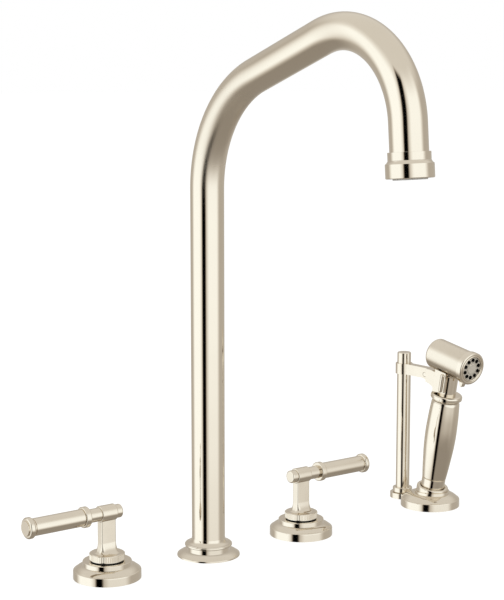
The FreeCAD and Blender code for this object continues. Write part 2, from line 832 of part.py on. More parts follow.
turned_piece("spout_spigot", [
    ("journal_bore", "-journal_depth"),
    ("journal_radius", "-journal_depth"),
    *seal_groove("seal_second_depth"),
    *seal_groove("seal_first_depth"),
    ("journal_radius", tube_foot),
    ("tube_radius-tube_wall-fit_gap", tube_foot),
    ("tube_radius-tube_wall-fit_gap", f"{tube_foot}+journal_plug"),
    ("journal_bore", f"{tube_foot}+journal_plug"),
])

spout_orings = new_body("spout_orings")
seal_sketch = new_sketch(spout_orings, "XZ_Plane")
draw_circle(seal_sketch, seal_circle, "-seal_first_depth", "seal_wire")
draw_circle(seal_sketch, seal_circle, "-seal_second_depth", "seal_wire")
seals = spout_orings.newObject("PartDesign::Revolution", "seal_rings")
seals.Profile = seal_sketch
seals.ReferenceAxis = (seal_sketch, ["V_Axis"])
seals.Angle = 360

# The spout tube follows a plane line: rise, wide bend, slope, tight bend, tail.
first_turn = "first_bend_angle"
full_turn = "(first_bend_angle+second_bend_angle)"
reach_one = f"first_bend_radius*(1-cos({first_turn}))"
rise_one = f"spout_rise+first_bend_radius*sin({first_turn})"
reach_two = f"{reach_one}+slope_run*sin({first_turn})"
rise_two = f"{rise_one}+slope_run*cos({first_turn})"
reach_three = f"{reach_two}+second_bend_radius*(cos({first_turn})-cos({full_turn}))"
rise_three = f"{rise_two}+second_bend_radius*(sin({full_turn})-sin({first_turn}))"
tube_tail = "(tail_run+outlet_socket)"

spout_tube = new_body("spout_tube", ("0", "0", tube_foot))
spine = new_sketch(spout_tube, "YZ_Plane")
draw_outline(spine, [
    ("0", "0"),
    ("0", f"spout_rise-{tube_foot}"),
    (f"-({reach_one})", f"{rise_one}-{tube_foot}", "round", "first_bend_radius"),
    (f"-({reach_two})", f"{rise_two}-{tube_foot}"),
    (f"-({reach_three})", f"{rise_three}-{tube_foot}", "round", "second_bend_radius"),
    (f"-({reach_three}+{tube_tail}*sin({full_turn}))",
     f"{rise_three}+{tube_tail}*cos({full_turn})-{tube_foot}"),
], closed=False)
section = new_sketch(spout_tube, "XY_Plane")
draw_circle(section, "0", "0", "tube_radius")
draw_circle(section, "0", "0", "tube_radius-tube_wall")
sweep = spout_tube.newObject("PartDesign::AdditivePipe", "bent_tube")
sweep.Profile = section
sweep.Spine = (spine, [f"Edge{number}" for number in range(1, 6)])

# Outlet pieces stand on the tube's end. Their own Z points the way that the water leaves.
outlet_base = ("0", f"-({reach_three})", rise_three)
outlet_turn = (Vector(1, 0, 0), full_turn)
outlet_collar_end = "(tail_run+outlet_collar_width)"
outlet_thread_end = f"({outlet_collar_end}+outlet_thread_length)"
shell_start = f"({outlet_collar_end}+face_gap)"
shell_end = f"({shell_start}+shell_length)"
core_start = f"({outlet_thread_end}+core_washer)"
core_shoulder = f"({shell_end}-shell_lip)"
thread_hole = "(outlet_thread_radius+thread_gap)"

turned_piece("outlet_collar", [
    ("outlet_way", tube_tail),
    ("tube_radius+fit_gap", tube_tail),
    ("tube_radius+fit_gap", "tail_run"),
    ("outlet_collar_radius-fit_gap", "tail_run"),
    ("outlet_collar_radius", "tail_run+fit_gap"),
    ("outlet_collar_radius", outlet_collar_end),
    ("outlet_thread_radius", outlet_collar_end),
    ("outlet_thread_radius", outlet_thread_end),
    ("outlet_way", outlet_thread_end),
], outlet_base, outlet_turn)

turned_piece("aerator_shell", [
    (thread_hole, shell_start),
    ("outlet_collar_radius", shell_start),
    ("shell_radius", f"{shell_start}+shell_cone", "cove", "shallow"),
    ("shell_radius", f"{shell_end}-shell_round"),
    ("shell_radius-shell_round", shell_end, "round"),
    ("core_radius+fit_gap", shell_end),
    ("core_radius+fit_gap", core_shoulder),
    (thread_hole, core_shoulder),
], outlet_base, outlet_turn)

turned_piece("aerator_washer", [
    ("outlet_way", outlet_thread_end),
    ("outlet_thread_radius", outlet_thread_end),
    ("outlet_thread_radius", core_start),
    ("outlet_way", core_start),
], outlet_base, outlet_turn)

aerator_core = turned_piece("aerator_core", [
    ("0", core_start),
    ("outlet_thread_radius", core_start),
    ("outlet_thread_radius", core_shoulder),
    ("core_radius", core_shoulder),
    ("core_radius", f"{shell_end}+core_proud"),
    ("0", f"{shell_end}+core_proud"),
], outlet_base, outlet_turn)
core_hole = rod(aerator_core, "Subtractive", "core_hole_radius", f"{shell_end}+core_proud",
                ("core_hole_circle", "0", core_start))
polar(aerator_core, core_hole, "core_hole_count")

# Under the spout shank: the tee, and in its bore the diverter's piston, spring and nipple.
tee_foot = f"({shank_end}-tee_length)"
tee_roof_height = f"({shank_end}-tee_roof)"
piston_top = f"({tee_roof_height}-piston_drop+piston_height)"
piston_foot = f"({tee_roof_height}-piston_drop)"
nipple_top = f"({piston_foot}-face_gap)"
piston_radius = "(tee_bore-run_gap)"

spout_tee = turned_piece("spout_tee", [
    ("tee_bore", tee_foot),
    ("tee_radius", tee_foot),
    ("tee_radius", shank_end),
    ("tee_spigot_radius", shank_end),
    ("tee_spigot_radius", f"{shank_end}+tee_spigot"),
    ("inlet_bore", f"{shank_end}+tee_spigot"),
    ("inlet_bore", tee_roof_height),
    ("tee_bore", tee_roof_height),
])
for inward, flip in ((ALONG_X, ""), (AGAINST_X, "-")):
    rod(spout_tee, "Additive", "outlet_radius", "outlet_reach-tee_branch_root",
        (f"{flip}tee_branch_root", "0", side_outlet_height), inward)
    rod(spout_tee, "Subtractive", "outlet_bore", "outlet_reach",
        (f"{flip}tee_bore/2", "0", side_outlet_height), inward)

turned_piece("diverter_piston", [
    ("0", piston_foot),
    (piston_radius, piston_foot),
    (piston_radius, f"{piston_foot}+piston_groove"),
    (f"{piston_radius}-piston_groove", f"{piston_foot}+2*piston_groove"),
    (f"{piston_radius}-piston_groove", f"{piston_top}-2*piston_groove"),
    (piston_radius, f"{piston_top}-piston_groove"),
    (piston_radius, piston_top),
    ("0", piston_top),
])

diverter_spring = new_body("diverter_spring")
coil(diverter_spring, "diverter_coil_radius", "diverter_wire",
     "piston_drop-piston_height", "diverter_turns", piston_top)

nipple_hex_top = f"({tee_foot}-face_gap)"
nipple_hex_foot = f"({nipple_hex_top}-hex_height)"
diverter_body = turned_piece("diverter_body", [
    ("nipple_bore", f"{nipple_hex_foot}-nipple_length"),
    ("nipple_radius", f"{nipple_hex_foot}-nipple_length"),
    ("nipple_radius", nipple_hex_foot),
    ("tee_bore", nipple_hex_foot),
    ("tee_bore", nipple_hex_top),
    ("tee_bore-thread_gap", nipple_hex_top),
    ("tee_bore-thread_gap", nipple_top),
    ("nipple_bore", nipple_top),
])
hex_sketch = new_sketch(diverter_body, "XY_Plane", nipple_hex_foot)
draw_polygon(hex_sketch, "0", "0", "hex_radius", 6)
draw_circle(hex_sketch, "0", "0", "nipple_bore")
pad(diverter_body, hex_sketch, "hex_height")

# The sprayer's base: rim, cone and a boss bored at the lean of the cup, with the post's ear.
spray_axis = ("spray_offset", "0", "0")
boss_shift = "((spray_boss_top-lean_root)*tan(lean_angle))"
leaning = (Vector(1, 0, 0), "lean_angle")
spray_root = ("spray_offset", "0", "lean_root")

spray_base = turned_piece("spray_base", [
    (shank_hole, "gasket_thickness"),
    ("spray_base_radius-gasket_inset", "gasket_thickness"),
    ("spray_base_radius-gasket_inset", "0"),
    ("spray_base_radius", "0"),
    ("spray_base_radius", "spray_base_edge"),
    ("spray_base_radius-spray_base_round", "spray_base_edge+spray_base_round", "round"),
    ("spray_cone_radius", "spray_cone_top", "round", "shallow"),
    ("hose_way+hose_relief", "spray_cone_top"),
    ("hose_way+hose_relief", "spray_seat"),
    (shank_hole, "spray_seat"),
], spray_axis)
boss_sketch = new_sketch(spray_base, "XY_Plane", "spray_seat")
draw_circle(boss_sketch, "0", f"-{boss_shift}", "cup_radius+cup_boss_wall")
draw_circle(boss_sketch, "0", "0", "hose_way+hose_relief")
pad(spray_base, boss_sketch, "spray_boss_top-spray_seat")
ear_sketch = new_sketch(spray_base, "XY_Plane")
draw_outline(ear_sketch, [
    ("-ear_radius", "post_offset", "round"),
    ("0", "post_offset-ear_radius", "round"),
    ("ear_radius", "post_offset", "round"),
    ("0", "post_offset+ear_radius", "round"),
])
pad(spray_base, ear_sketch, "ear_height")
waist_sketch = new_sketch(spray_base, "XY_Plane")
draw_outline(waist_sketch, [
    ("-ear_waist", "spray_base_radius-gasket_inset/2"),
    ("ear_waist", "spray_base_radius-gasket_inset/2"),
    ("ear_waist", "post_offset"),
    ("-ear_waist", "post_offset"),
])
pad(spray_base, waist_sketch, "ear_height")
rod(spray_base, "Subtractive", "cup_radius+fit_gap", "cup_radius",
    ("0", "-cup_foot*sin(lean_angle)", "lean_root+cup_foot*cos(lean_angle)"), leaning)
rod(spray_base, "Subtractive", "post_screw_radius+fit_gap", "ear_height",
    ("0", "post_offset", "0"))
rod(spray_base, "Subtractive", "post_screw_head+fit_gap", "post_screw_radius",
    ("0", "post_offset", "0"))

turned_piece("spray_shank", [
    ("hose_way", shank_end),
    ("shank_radius", shank_end),
    ("shank_radius", "spray_seat"),
    ("hose_way", "spray_seat"),
], spray_axis)

# The cup is pressed into the base's leaning bore. The sprayer's ferrule stands in it.
turned_piece("spray_cup", [
    ("hose_way+hose_relief", "cup_foot"),
    ("cup_radius", "cup_foot"),
    ("cup_radius", "cup_rim-cup_round"),
    ("cup_radius-cup_round", "cup_rim", "round"),
    ("cup_inner_radius+cup_round/2", "cup_rim"),
    ("cup_inner_radius", "cup_rim-cup_round/2", "round"),
    ("cup_inner_radius", "cup_floor"),
    ("hose_way+hose_relief", "cup_floor"),
], spray_root, leaning)

# Stations along the sprayer's leaning axis
handgrip_lower = "(ferrule_top+handgrip_lower_run)"
handgrip_middle = f"({handgrip_lower}+handgrip_middle_run)"
handgrip_upper = f"({handgrip_middle}+handgrip_upper_run)"
handgrip_top = f"({handgrip_upper}+handgrip_top_run)"
flare_top_station = f"({handgrip_top}+flare_width)"
head_bottom = f"({flare_top_station}+neck_length)"
head_station = f"({head_bottom}+head_radius)"

turned_piece("spray_ferrule", [
    ("hose_thread_radius", "cup_floor+face_gap"),
    ("ferrule_radius-ferrule_round", "cup_floor+face_gap"),
    ("ferrule_radius", "cup_floor+face_gap+ferrule_round", "round"),
    ("ferrule_radius", "ferrule_top"),
    ("water_way", "ferrule_top"),
    ("water_way", "cup_floor+face_gap+hose_thread_length"),
    ("hose_thread_radius", "cup_floor+face_gap+hose_thread_length"),
], spray_root, leaning)

# The hand grip is an eight-sided swelling loft, turned down at both ends so the flats scallop.
spray_grip = new_body("spray_grip", spray_root, leaning)
stations = [
    ("ferrule_top", "handgrip_foot_radius"),
    (handgrip_lower, "handgrip_lower_radius"),
    (handgrip_middle, "handgrip_middle_radius"),
    (handgrip_upper, "handgrip_upper_radius"),
    (handgrip_top, "handgrip_top_radius"),
]
sections = []
for station, corner_radius in stations:
    octagon = new_sketch(spray_grip, "XY_Plane", station)
    draw_polygon(octagon, "0", "0", corner_radius, 8, "handgrip_twist")
    sections.append(octagon)
loft = spray_grip.newObject("PartDesign::AdditiveLoft", "spray_grip_loft")
loft.Profile = sections[0]
loft.Sections = sections[1:]
rod(spray_grip, "Subtractive", "water_way", handgrip_top)
for end, run, turned_radius in (("ferrule_top", "+", "handgrip_foot_turned"),
                                (handgrip_top, "-", "handgrip_top_turned")):
    end_sketch = new_sketch(spray_grip, "XZ_Plane")
    draw_outline(end_sketch, [
        (turned_radius, end),
        ("2*handgrip_middle_radius", end),
        ("2*handgrip_middle_radius", f"{end}{run}handgrip_turned_run"),
        ("handgrip_middle_radius", f"{end}{run}handgrip_turned_run"),
    ][::1 if run == "+" else -1])
    turned_end = spray_grip.newObject("PartDesign::Groove", "turned_end")
    turned_end.Profile = end_sketch
    turned_end.ReferenceAxis = (end_sketch, ["V_Axis"])
    turned_end.Angle = 360

turned_piece("spray_collar", [
    ("water_way", handgrip_top),
    ("flare_foot_radius", handgrip_top),
    ("flare_ring_radius", f"{handgrip_top}+flare_rise", "cove", "shallow"),
    ("flare_ring_radius", f"{flare_top_station}-flare_round"),
    ("flare_ring_radius-flare_round", flare_top_station, "round"),
    ("water_way", flare_top_station),
], spray_root, leaning)

spray_neck = turned_piece("spray_neck", [
    ("water_way", flare_top_station),
    ("neck_radius", flare_top_station),
    ("neck_radius", f"{head_bottom}-neck_flare"),
    ("neck_radius+neck_flare", f"{head_bottom}+neck_flare", "cove"),
    ("neck_radius+neck_flare", f"{head_bottom}+head_radius/2"),
    ("water_way", f"{head_bottom}+head_radius/2"),
], spray_root, leaning)
rod(spray_neck, "Subtractive", "head_radius+fit_gap", "4*neck_radius",
    ("0", "2*neck_radius", head_station), (Vector(1, 0, 0), "90"))

# The head lies across the sprayer's axis. Its own Z points out of the nozzle.
across_spray = (Vector(1, 0, 0), "90+lean_angle")


def spray_point(station, forward="0"):
    """A place on the sprayer in the deck's frame: station along it, then towards the nozzle."""
    return (
        "spray_offset",
        f"-(({station})*sin(lean_angle)+({forward})*cos(lean_angle))",
        f"lean_root+({station})*cos(lean_angle)-({forward})*sin(lean_angle)",
    )


head_base = spray_point(head_station)
face_ring_back = "(head_front+face_gap)"
face_ring_front = f"({face_ring_back}+face_ring_width)"
plate_back = "(head_front+head_thread_length)"
plate_front = f"({face_ring_front}-face_lip)"
rod_hole = "(valve_rod_radius+run_gap)"

spray_head = turned_piece("spray_head", [
    ("0", "-head_back"),
    ("head_radius-head_back_round", "-head_back"),
    ("head_radius", "head_back_round-head_back", "round"),
    ("head_radius", "head_front"),
    ("head_thread_radius", "head_front"),
    ("head_thread_radius", plate_back),
    ("chamber_radius", plate_back),
    ("chamber_radius", "chamber_start"),
    (rod_hole, "chamber_start"),
    (rod_hole, "-valve_rod_back-face_gap"),
    ("0", "-valve_rod_back-face_gap"),
], head_base, across_spray)
slot_sketch = new_sketch(spray_head, "XZ_Plane")
slot_half = "(trigger_thickness/2+trigger_side_gap)"
draw_outline(slot_sketch, [
    (f"-{slot_half}", "trigger_forward-slot_back"),
    (slot_half, "trigger_forward-slot_back"),
    (slot_half, "trigger_forward+slot_front"),
    (f"-{slot_half}", "trigger_forward+slot_front"),
])
pocket(spray_head, slot_sketch, "head_radius", back=True)
rod(spray_head, "Subtractive", "trigger_pin_radius+fit_gap", "2*head_radius",
    ("-trigger_pin_reach-fit_gap", "-trigger_drop", "trigger_forward"), ALONG_X)
rod(spray_head, "Subtractive", "water_way", "head_radius",
    ("0", "0", "0"), (Vector(1, 0, 0), "90"))

turned_piece("spray_face_ring", [
    ("head_thread_radius+thread_gap", face_ring_back),
    ("face_ring_radius-fit_gap", face_ring_back),
    ("face_ring_radius", f"{face_ring_back}+fit_gap"),
    ("face_ring_radius", f"{face_ring_front}-face_ring_round"),
    ("face_ring_radius-face_ring_round", face_ring_front, "round"),
    ("face_opening_radius+face_lip/2", face_ring_front),
    ("face_opening_radius", f"{face_ring_front}-face_lip/2", "round"),
    ("face_opening_radius", plate_front),
    ("head_thread_radius+thread_gap", plate_front),
], head_base, across_spray)

nozzle_plate = turned_piece("spray_nozzle_plate", [
    ("0", plate_back),
    ("head_thread_radius", plate_back),
    ("head_thread_radius", plate_front),
    ("nozzle_boss_radius", plate_front),
    ("nozzle_boss_radius-nozzle_boss_rise", f"{plate_front}+nozzle_boss_rise", "round"),
    ("0", f"{plate_front}+nozzle_boss_rise"),
], head_base, across_spray)
nozzle_hole = rod(nozzle_plate, "Subtractive", "nozzle_hole_radius", "head_front",
                  ("0", "nozzle_hole_circle", "head_front"))
polar(nozzle_plate, nozzle_hole, "nozzle_hole_count")

# The valve stem slides along the head. Its disc is what the trigger pushes forward.
disc_front = "(valve_disc_back+valve_disc_width)"
turned_piece("spray_valve_stem", [
    ("0", "-valve_rod_back"),
    ("valve_rod_radius", "-valve_rod_back"),
    ("valve_rod_radius", "valve_disc_back"),
    ("valve_disc_radius", "valve_disc_back"),
    ("valve_disc_radius", disc_front),
    ("valve_rod_radius", disc_front),
    ("valve_rod_radius", f"{disc_front}+valve_nose"),
    ("0", f"{disc_front}+valve_nose"),
], head_base, across_spray)

valve_spring = new_body("valve_spring", head_base, across_spray)
coil(valve_spring, "valve_spring_radius", "valve_spring_wire",
     f"{plate_back}-{disc_front}-valve_travel-face_gap", "valve_spring_turns",
     f"{disc_front}+valve_travel")

# The trigger is a flat bell crank: a finger tab below the head and an arm behind the disc.
pivot_base = spray_point(f"{head_station}-trigger_drop", "trigger_forward")
disc_contact = "(valve_disc_back-trigger_forward-trigger_side_gap)"
disc_edge = "(trigger_drop-valve_disc_radius)"
spray_trigger = new_body("spray_trigger", pivot_base, across_spray)
crank_sketch = new_sketch(spray_trigger, "YZ_Plane")
draw_outline(crank_sketch, [
    ("-trigger_tip", "tab_start"),
    ("-crank_heel_run", "-crank_wall"),
    ("crank_wall", "-crank_wall"),
    (f"{disc_edge}+trigger_pin_radius", f"{disc_contact}-crank_wall"),
    (f"{disc_edge}+trigger_pin_radius", disc_contact),
    (f"{disc_edge}+trigger_pin_radius-crank_toe", disc_contact),
    ("crank_wall", "crank_shoulder"),
    ("0", "crank_crown"),
    ("-tab_knee_run", "tab_knee"),
    ("tab_lip-trigger_tip", "tab_end", "round", "shallow"),
])
pad(spray_trigger, crank_sketch, "trigger_thickness", middle=True)
rod(spray_trigger, "Subtractive", "trigger_pin_radius+run_gap", "2*trigger_thickness",
    ("-trigger_thickness", "0", "0"), ALONG_X)

trigger_pin = new_body("trigger_pin", pivot_base, across_spray)
rod(trigger_pin, "Additive", "trigger_pin_radius", "2*trigger_pin_reach",
    ("-trigger_pin_reach", "0", "0"), ALONG_X)

# The holder post stands on the ear, held by a screw from below.
post_stand = ("spray_offset", "post_offset", "0")
post_foot = "(ear_height+face_gap)"
arm_foot = f"(lean_root+{flare_top_station}*cos(lean_angle)+arm_rise)"
arm_middle = f"({arm_foot}+arm_height/2)"
post_ring_top = f"({post_foot}+post_foot_height)"

turned_piece("holder_post", [
    ("post_screw_radius+thread_gap", post_foot),
    ("post_foot_radius-ear_round", post_foot),
    ("post_foot_radius", f"{post_foot}+ear_round", "round"),
    ("post_foot_radius", f"{post_ring_top}-ear_round"),
    ("post_foot_radius-ear_round", post_ring_top, "round"),
    ("post_radius", post_ring_top),
    ("post_radius", f"{arm_middle}-arm_screw_radius-fit_gap"),
    ("post_radius-post_groove", f"{arm_middle}-arm_screw_radius-fit_gap"),
    ("post_radius-post_groove", f"{arm_middle}+arm_screw_radius+fit_gap"),
    ("post_radius", f"{arm_middle}+arm_screw_radius+fit_gap"),
    ("post_radius", "post_top-post_round"),
    ("post_radius-post_round", "post_top", "round"),
    ("0", "post_top"),
    ("0", f"{post_foot}+post_screw_length+post_screw_radius"),
    ("post_screw_radius+thread_gap", f"{post_foot}+post_screw_length+post_screw_radius"),
], post_stand)

turned_piece("post_screw", [
    ("post_screw_head/3", "face_gap"),
    ("post_screw_head", "face_gap"),
    ("post_screw_head", "post_screw_radius"),
    ("post_screw_radius", "post_screw_radius"),
    ("post_screw_radius", f"{post_foot}+post_screw_length"),
    ("0", f"{post_foot}+post_screw_length"),
    ("0", "face_gap+post_screw_head/3"),
    ("post_screw_head/3", "face_gap+post_screw_head/3"),
], post_stand)

# The holder arm: a ring clamped on the post and a slotted bar towards the sprayer.
holder_arm = new_body("holder_arm", ("spray_offset", "0", "0"))
bar_sketch = new_sketch(holder_arm, "YZ_Plane")
bar_top = f"({arm_foot}+arm_height)"
draw_outline(bar_sketch, [
    ("rest_start", f"{arm_foot}-arm_heel"),
    ("arm_heel_run", f"{arm_foot}", "cove", "shallow"),
    ("post_offset", f"{arm_foot}"),
    ("post_offset", bar_top),
    ("rest_start", bar_top),
])
pad(holder_arm, bar_sketch, "arm_width", middle=True)
ring_sketch = new_sketch(holder_arm, "XY_Plane", arm_foot)
draw_circle(ring_sketch, "0", "post_offset", "arm_ring_radius")
pad(holder_arm, ring_sketch, "arm_height")
rod(holder_arm, "Subtractive", "post_radius+fit_gap", "2*post_top",
    ("0", "post_offset", "0"))
rod(holder_arm, "Subtractive", "arm_screw_radius+fit_gap", "2*arm_ring_radius",
    ("0", "post_offset", arm_middle), BACKWARDS)
slot_sketch = new_sketch(holder_arm, "YZ_Plane")
tongue_end = "(rest_start+rest_tongue_length)"
draw_outline(slot_sketch, [
    ("0", f"{arm_foot}-arm_height"),
    (f"{tongue_end}+fit_gap", f"{arm_foot}-arm_height"),
    (f"{tongue_end}+fit_gap", f"{bar_top}+arm_height"),
    ("0", f"{bar_top}+arm_height"),
])
pocket(holder_arm, slot_sketch, "rest_tongue+2*fit_gap", middle=True)
rest_pin_place = ("rest_start+rest_pin_inset", f"{arm_foot}+rest_pin_rise")
rod(holder_arm, "Subtractive", "rest_pin_radius+fit_gap", "2*arm_width",
    ("-arm_width", *rest_pin_place), ALONG_X)

turned_piece("arm_set_screw", [
    ("0", "post_radius-post_groove+fit_gap"),
    ("arm_screw_radius", "post_radius-post_groove+fit_gap"),
    ("arm_screw_radius", "arm_ring_radius"),
    ("arm_screw_radius/2", "arm_ring_radius"),
    ("arm_screw_radius/2", "post_radius"),
    ("0", "post_radius"),
], ("spray_offset", "post_offset", arm_middle), BACKWARDS)

# The bracket behind the neck: a tongue pinned in the arm's slot, a hollowed saddle and two
# cheeks. The left cheek reaches past the neck and the right one stops behind it.
neck_rest = new_body("neck_rest", ("spray_offset", "0", "0"))
neck_back = "(neck_radius+rest_gap)"


def behind_neck(station, behind):
    """A point in the arm's plane: station along the sprayer, distance behind its axis."""
    across = f"({behind})*cos(lean_angle)-({station})*sin(lean_angle)"
    up = f"lean_root+({station})*cos(lean_angle)+({behind})*sin(lean_angle)"
    return across, up


rest_sketch = new_sketch(neck_rest, "YZ_Plane")
draw_outline(rest_sketch, [
    behind_neck(f"{flare_top_station}+rest_lift", "rest_wing"),
    behind_neck(f"{flare_top_station}+rest_lift", f"{neck_back}+rest_back"),
    ("rest_start-fit_gap", f"{arm_foot}-arm_heel", "cove", "shallow"),
    ("rest_start-fit_gap", bar_top),
    ("rest_start-rest_crown", bar_top),
    behind_neck(f"{head_station}-head_radius-rest_head_gap", "rest_wing"),
])
pad(neck_rest, rest_sketch, "rest_width", middle=True)
tongue_sketch = new_sketch(neck_rest, "YZ_Plane")
draw_outline(tongue_sketch, [
    ("rest_start-rest_pin_inset", f"{arm_foot}"),
    (tongue_end, f"{arm_foot}"),
    (tongue_end, bar_top),
    ("rest_start-rest_pin_inset", bar_top),
])
pad(neck_rest, tongue_sketch, "rest_tongue", middle=True)
for front, leftward in (("-cheek_reach", True), ("cheek_return", False)):
    cheek_slope = f"(cheek_toe-cheek_heel)*(cheek_depth-({front}))/(cheek_depth+cheek_reach)"
    cheek_sketch = new_sketch(neck_rest, "YZ_Plane")
    draw_outline(cheek_sketch, [
        behind_neck(f"{flare_top_station}+cheek_heel+{cheek_slope}", front),
        behind_neck(f"{flare_top_station}+cheek_heel", "cheek_depth"),
        behind_neck(f"{flare_top_station}+cheek_rise", "cheek_depth"),
        behind_neck(f"{flare_top_station}+cheek_rise", front),
    ])
    cheek = pad(neck_rest, cheek_sketch, "cheek_half")
    cheek.Reversed = leftward
rod(neck_rest, "Subtractive", "head_radius+rest_head_gap", "4*head_radius",
    ("0", *behind_neck(head_station, "2*head_radius")), across_spray)
for reach, start in ((neck_back, flare_top_station),
                     (f"({neck_back}+neck_flare)", f"({head_bottom}-2*neck_flare)")):
    rod(neck_rest, "Subtractive", reach, "head_back", ("0", *behind_neck(start, "0")), leaning)
    way_sketch = new_sketch(neck_rest, "YZ_Plane")
    draw_outline(way_sketch, [
        behind_neck(start, "-2*cheek_reach"),
        behind_neck(start, "0"),
        behind_neck(head_station, "0"),
        behind_neck(head_station, "-2*cheek_reach"),
    ])
    pocket(neck_rest, way_sketch, f"2*{reach}", middle=True)
rod(neck_rest, "Subtractive", "rest_pin_radius+fit_gap", "2*arm_width",
    ("-arm_width", *rest_pin_place), ALONG_X)

neck_rest_pin = new_body("neck_rest_pin", ("spray_offset", "0", "0"))
rod(neck_rest_pin, "Additive", "rest_pin_radius", "arm_width",
    ("-arm_width/2", *rest_pin_place), ALONG_X)

doc.recompute()

# Check every object and every piece before anything is written
for item in doc.Objects:
    if "Invalid" in item.State or "Error" in item.State:
        raise RuntimeError(f"{item.Label} failed: {item.State}")
bodies = doc.findObjects("PartDesign::Body")
for body in bodies:
    if body.Shape.isNull() or not body.Shape.isValid() or not body.Shape.Solids:
        raise RuntimeError(f"{body.Label} has no valid solid")

os.makedirs("parts", exist_ok=True)
for body in bodies:
    body.Shape.exportStep(os.path.join("parts", f"{body.Label}.step"))
    print(body.Label, len(body.Shape.Solids), round(body.Shape.Volume, 1))
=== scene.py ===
import json
from math import cos, pi, radians, sin

import bmesh
import bpy
from mathutils import Matrix, Vector

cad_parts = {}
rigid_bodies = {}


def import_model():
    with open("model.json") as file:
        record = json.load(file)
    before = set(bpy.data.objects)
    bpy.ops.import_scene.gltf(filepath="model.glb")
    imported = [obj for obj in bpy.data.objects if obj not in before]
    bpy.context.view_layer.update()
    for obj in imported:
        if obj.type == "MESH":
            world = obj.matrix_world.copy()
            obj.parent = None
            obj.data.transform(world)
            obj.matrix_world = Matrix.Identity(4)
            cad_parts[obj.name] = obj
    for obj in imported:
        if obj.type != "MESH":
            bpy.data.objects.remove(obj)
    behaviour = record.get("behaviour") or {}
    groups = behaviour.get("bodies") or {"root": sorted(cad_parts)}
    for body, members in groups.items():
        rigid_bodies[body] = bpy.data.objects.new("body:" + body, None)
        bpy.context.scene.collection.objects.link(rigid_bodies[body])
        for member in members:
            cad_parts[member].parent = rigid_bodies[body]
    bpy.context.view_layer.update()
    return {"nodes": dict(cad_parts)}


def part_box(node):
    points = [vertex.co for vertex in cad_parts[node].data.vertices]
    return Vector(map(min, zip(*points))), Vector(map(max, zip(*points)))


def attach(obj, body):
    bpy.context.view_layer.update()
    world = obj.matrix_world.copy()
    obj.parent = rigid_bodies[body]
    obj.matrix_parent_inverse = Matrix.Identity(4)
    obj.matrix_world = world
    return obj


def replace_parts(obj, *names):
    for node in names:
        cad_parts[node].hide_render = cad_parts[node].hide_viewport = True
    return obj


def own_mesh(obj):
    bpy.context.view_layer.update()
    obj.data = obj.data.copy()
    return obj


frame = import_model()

scene = bpy.context.scene
scene.view_settings.view_transform = "Standard"

# The photographer's place. A long lens from the front left, a little above the top of the levers,
# tipped down so that all four deck flanges show their tops.
camera_turn = radians(37.747)
camera_tip = radians(7.976)
look = Vector((sin(camera_turn) * cos(camera_tip), cos(camera_turn) * cos(camera_tip), -sin(camera_tip)))
side = Vector((cos(camera_turn), -sin(camera_turn), 0))
lift = side.cross(look)
camera_place = Vector((-0.777332, -1.064306, 0.4024535))
camera_data = bpy.data.cameras.new("studio_camera")
camera_data.lens = 96.15
camera_data.sensor_width = 36
camera_data.clip_end = 50
camera = bpy.data.objects.new("studio_camera", camera_data)
camera.matrix_world = Matrix((
    (side.x, lift.x, -look.x, camera_place.x),
    (side.y, lift.y, -look.y, camera_place.y),
    (side.z, lift.z, -look.z, camera_place.z),
    (0, 0, 0, 1),
))
scene.collection.objects.link(camera)
scene.camera = camera

# The white studio. Polished metal is only as good as what it mirrors: a tall soft panel on each
# side of the camera with a narrow black gap between them, pale walls and ceiling, a shaded table.
world = bpy.data.worlds.new("studio")
scene.world = world
world.use_nodes = True
wn = world.node_tree.nodes
wl = world.node_tree.links
wn.clear()


def room_math(operation, first, second=None, third=None, clamp=False):
    """One sum of the room's brightness, from outputs and plain values."""
    node = wn.new("ShaderNodeMath")
    node.operation = operation
    node.use_clamp = clamp
    for socket, value in zip(node.inputs, (first, second, third)):
        if value is None:
            continue
        if isinstance(value, (int, float)):
            socket.default_value = value
        else:
            wl.new(value, socket)
    return node.outputs[0]


def room_blend(factor, first, second):
    """first where factor is 0, second where it is 1."""
    step = room_math("SUBTRACT", second, first)
    return room_math("MULTIPLY_ADD", step, factor, first)


direction = wn.new("ShaderNodeTexCoord").outputs["Generated"]
split = wn.new("ShaderNodeSeparateXYZ")
wl.new(direction, split.inputs[0])
towards_x, towards_y, towards_z = split.outputs
# Bearings are counted from the camera, and grow towards the photographer's left.
ahead = room_math("ADD", room_math("MULTIPLY", towards_x, -sin(camera_turn)),
                  room_math("MULTIPLY", towards_y, -cos(camera_turn)))
leftward = room_math("ADD", room_math("MULTIPLY", towards_x, -cos(camera_turn)),
                     room_math("MULTIPLY", towards_y, sin(camera_turn)))
round_room = room_math("ARCTAN2", leftward, ahead)
pitch = room_math("ARCSINE", towards_z)


def within(angle, middle, span, soft):
    """1 inside a span of degrees and 0 outside it, with soft edges."""
    edge = wn.new("ShaderNodeMapRange")
    edge.interpolation_type = "SMOOTHSTEP"
    edge.inputs["From Min"].default_value = radians((span - soft) / 2)
    edge.inputs["From Max"].default_value = radians((span + soft) / 2)
    edge.inputs["To Min"].default_value = 1
    edge.inputs["To Max"].default_value = 0
    wl.new(room_math("ABSOLUTE", room_math("SUBTRACT", angle, radians(middle))), edge.inputs["Value"])
    return edge.outputs[0]


def panel(behind, level, bearing, width, height, tall, soft):
    """A soft-edged panel of one brightness in front of the room behind it."""
    share = room_math("MULTIPLY", within(round_room, bearing, width, soft), within(pitch, height, tall, soft))
    return room_blend(share, behind, level)


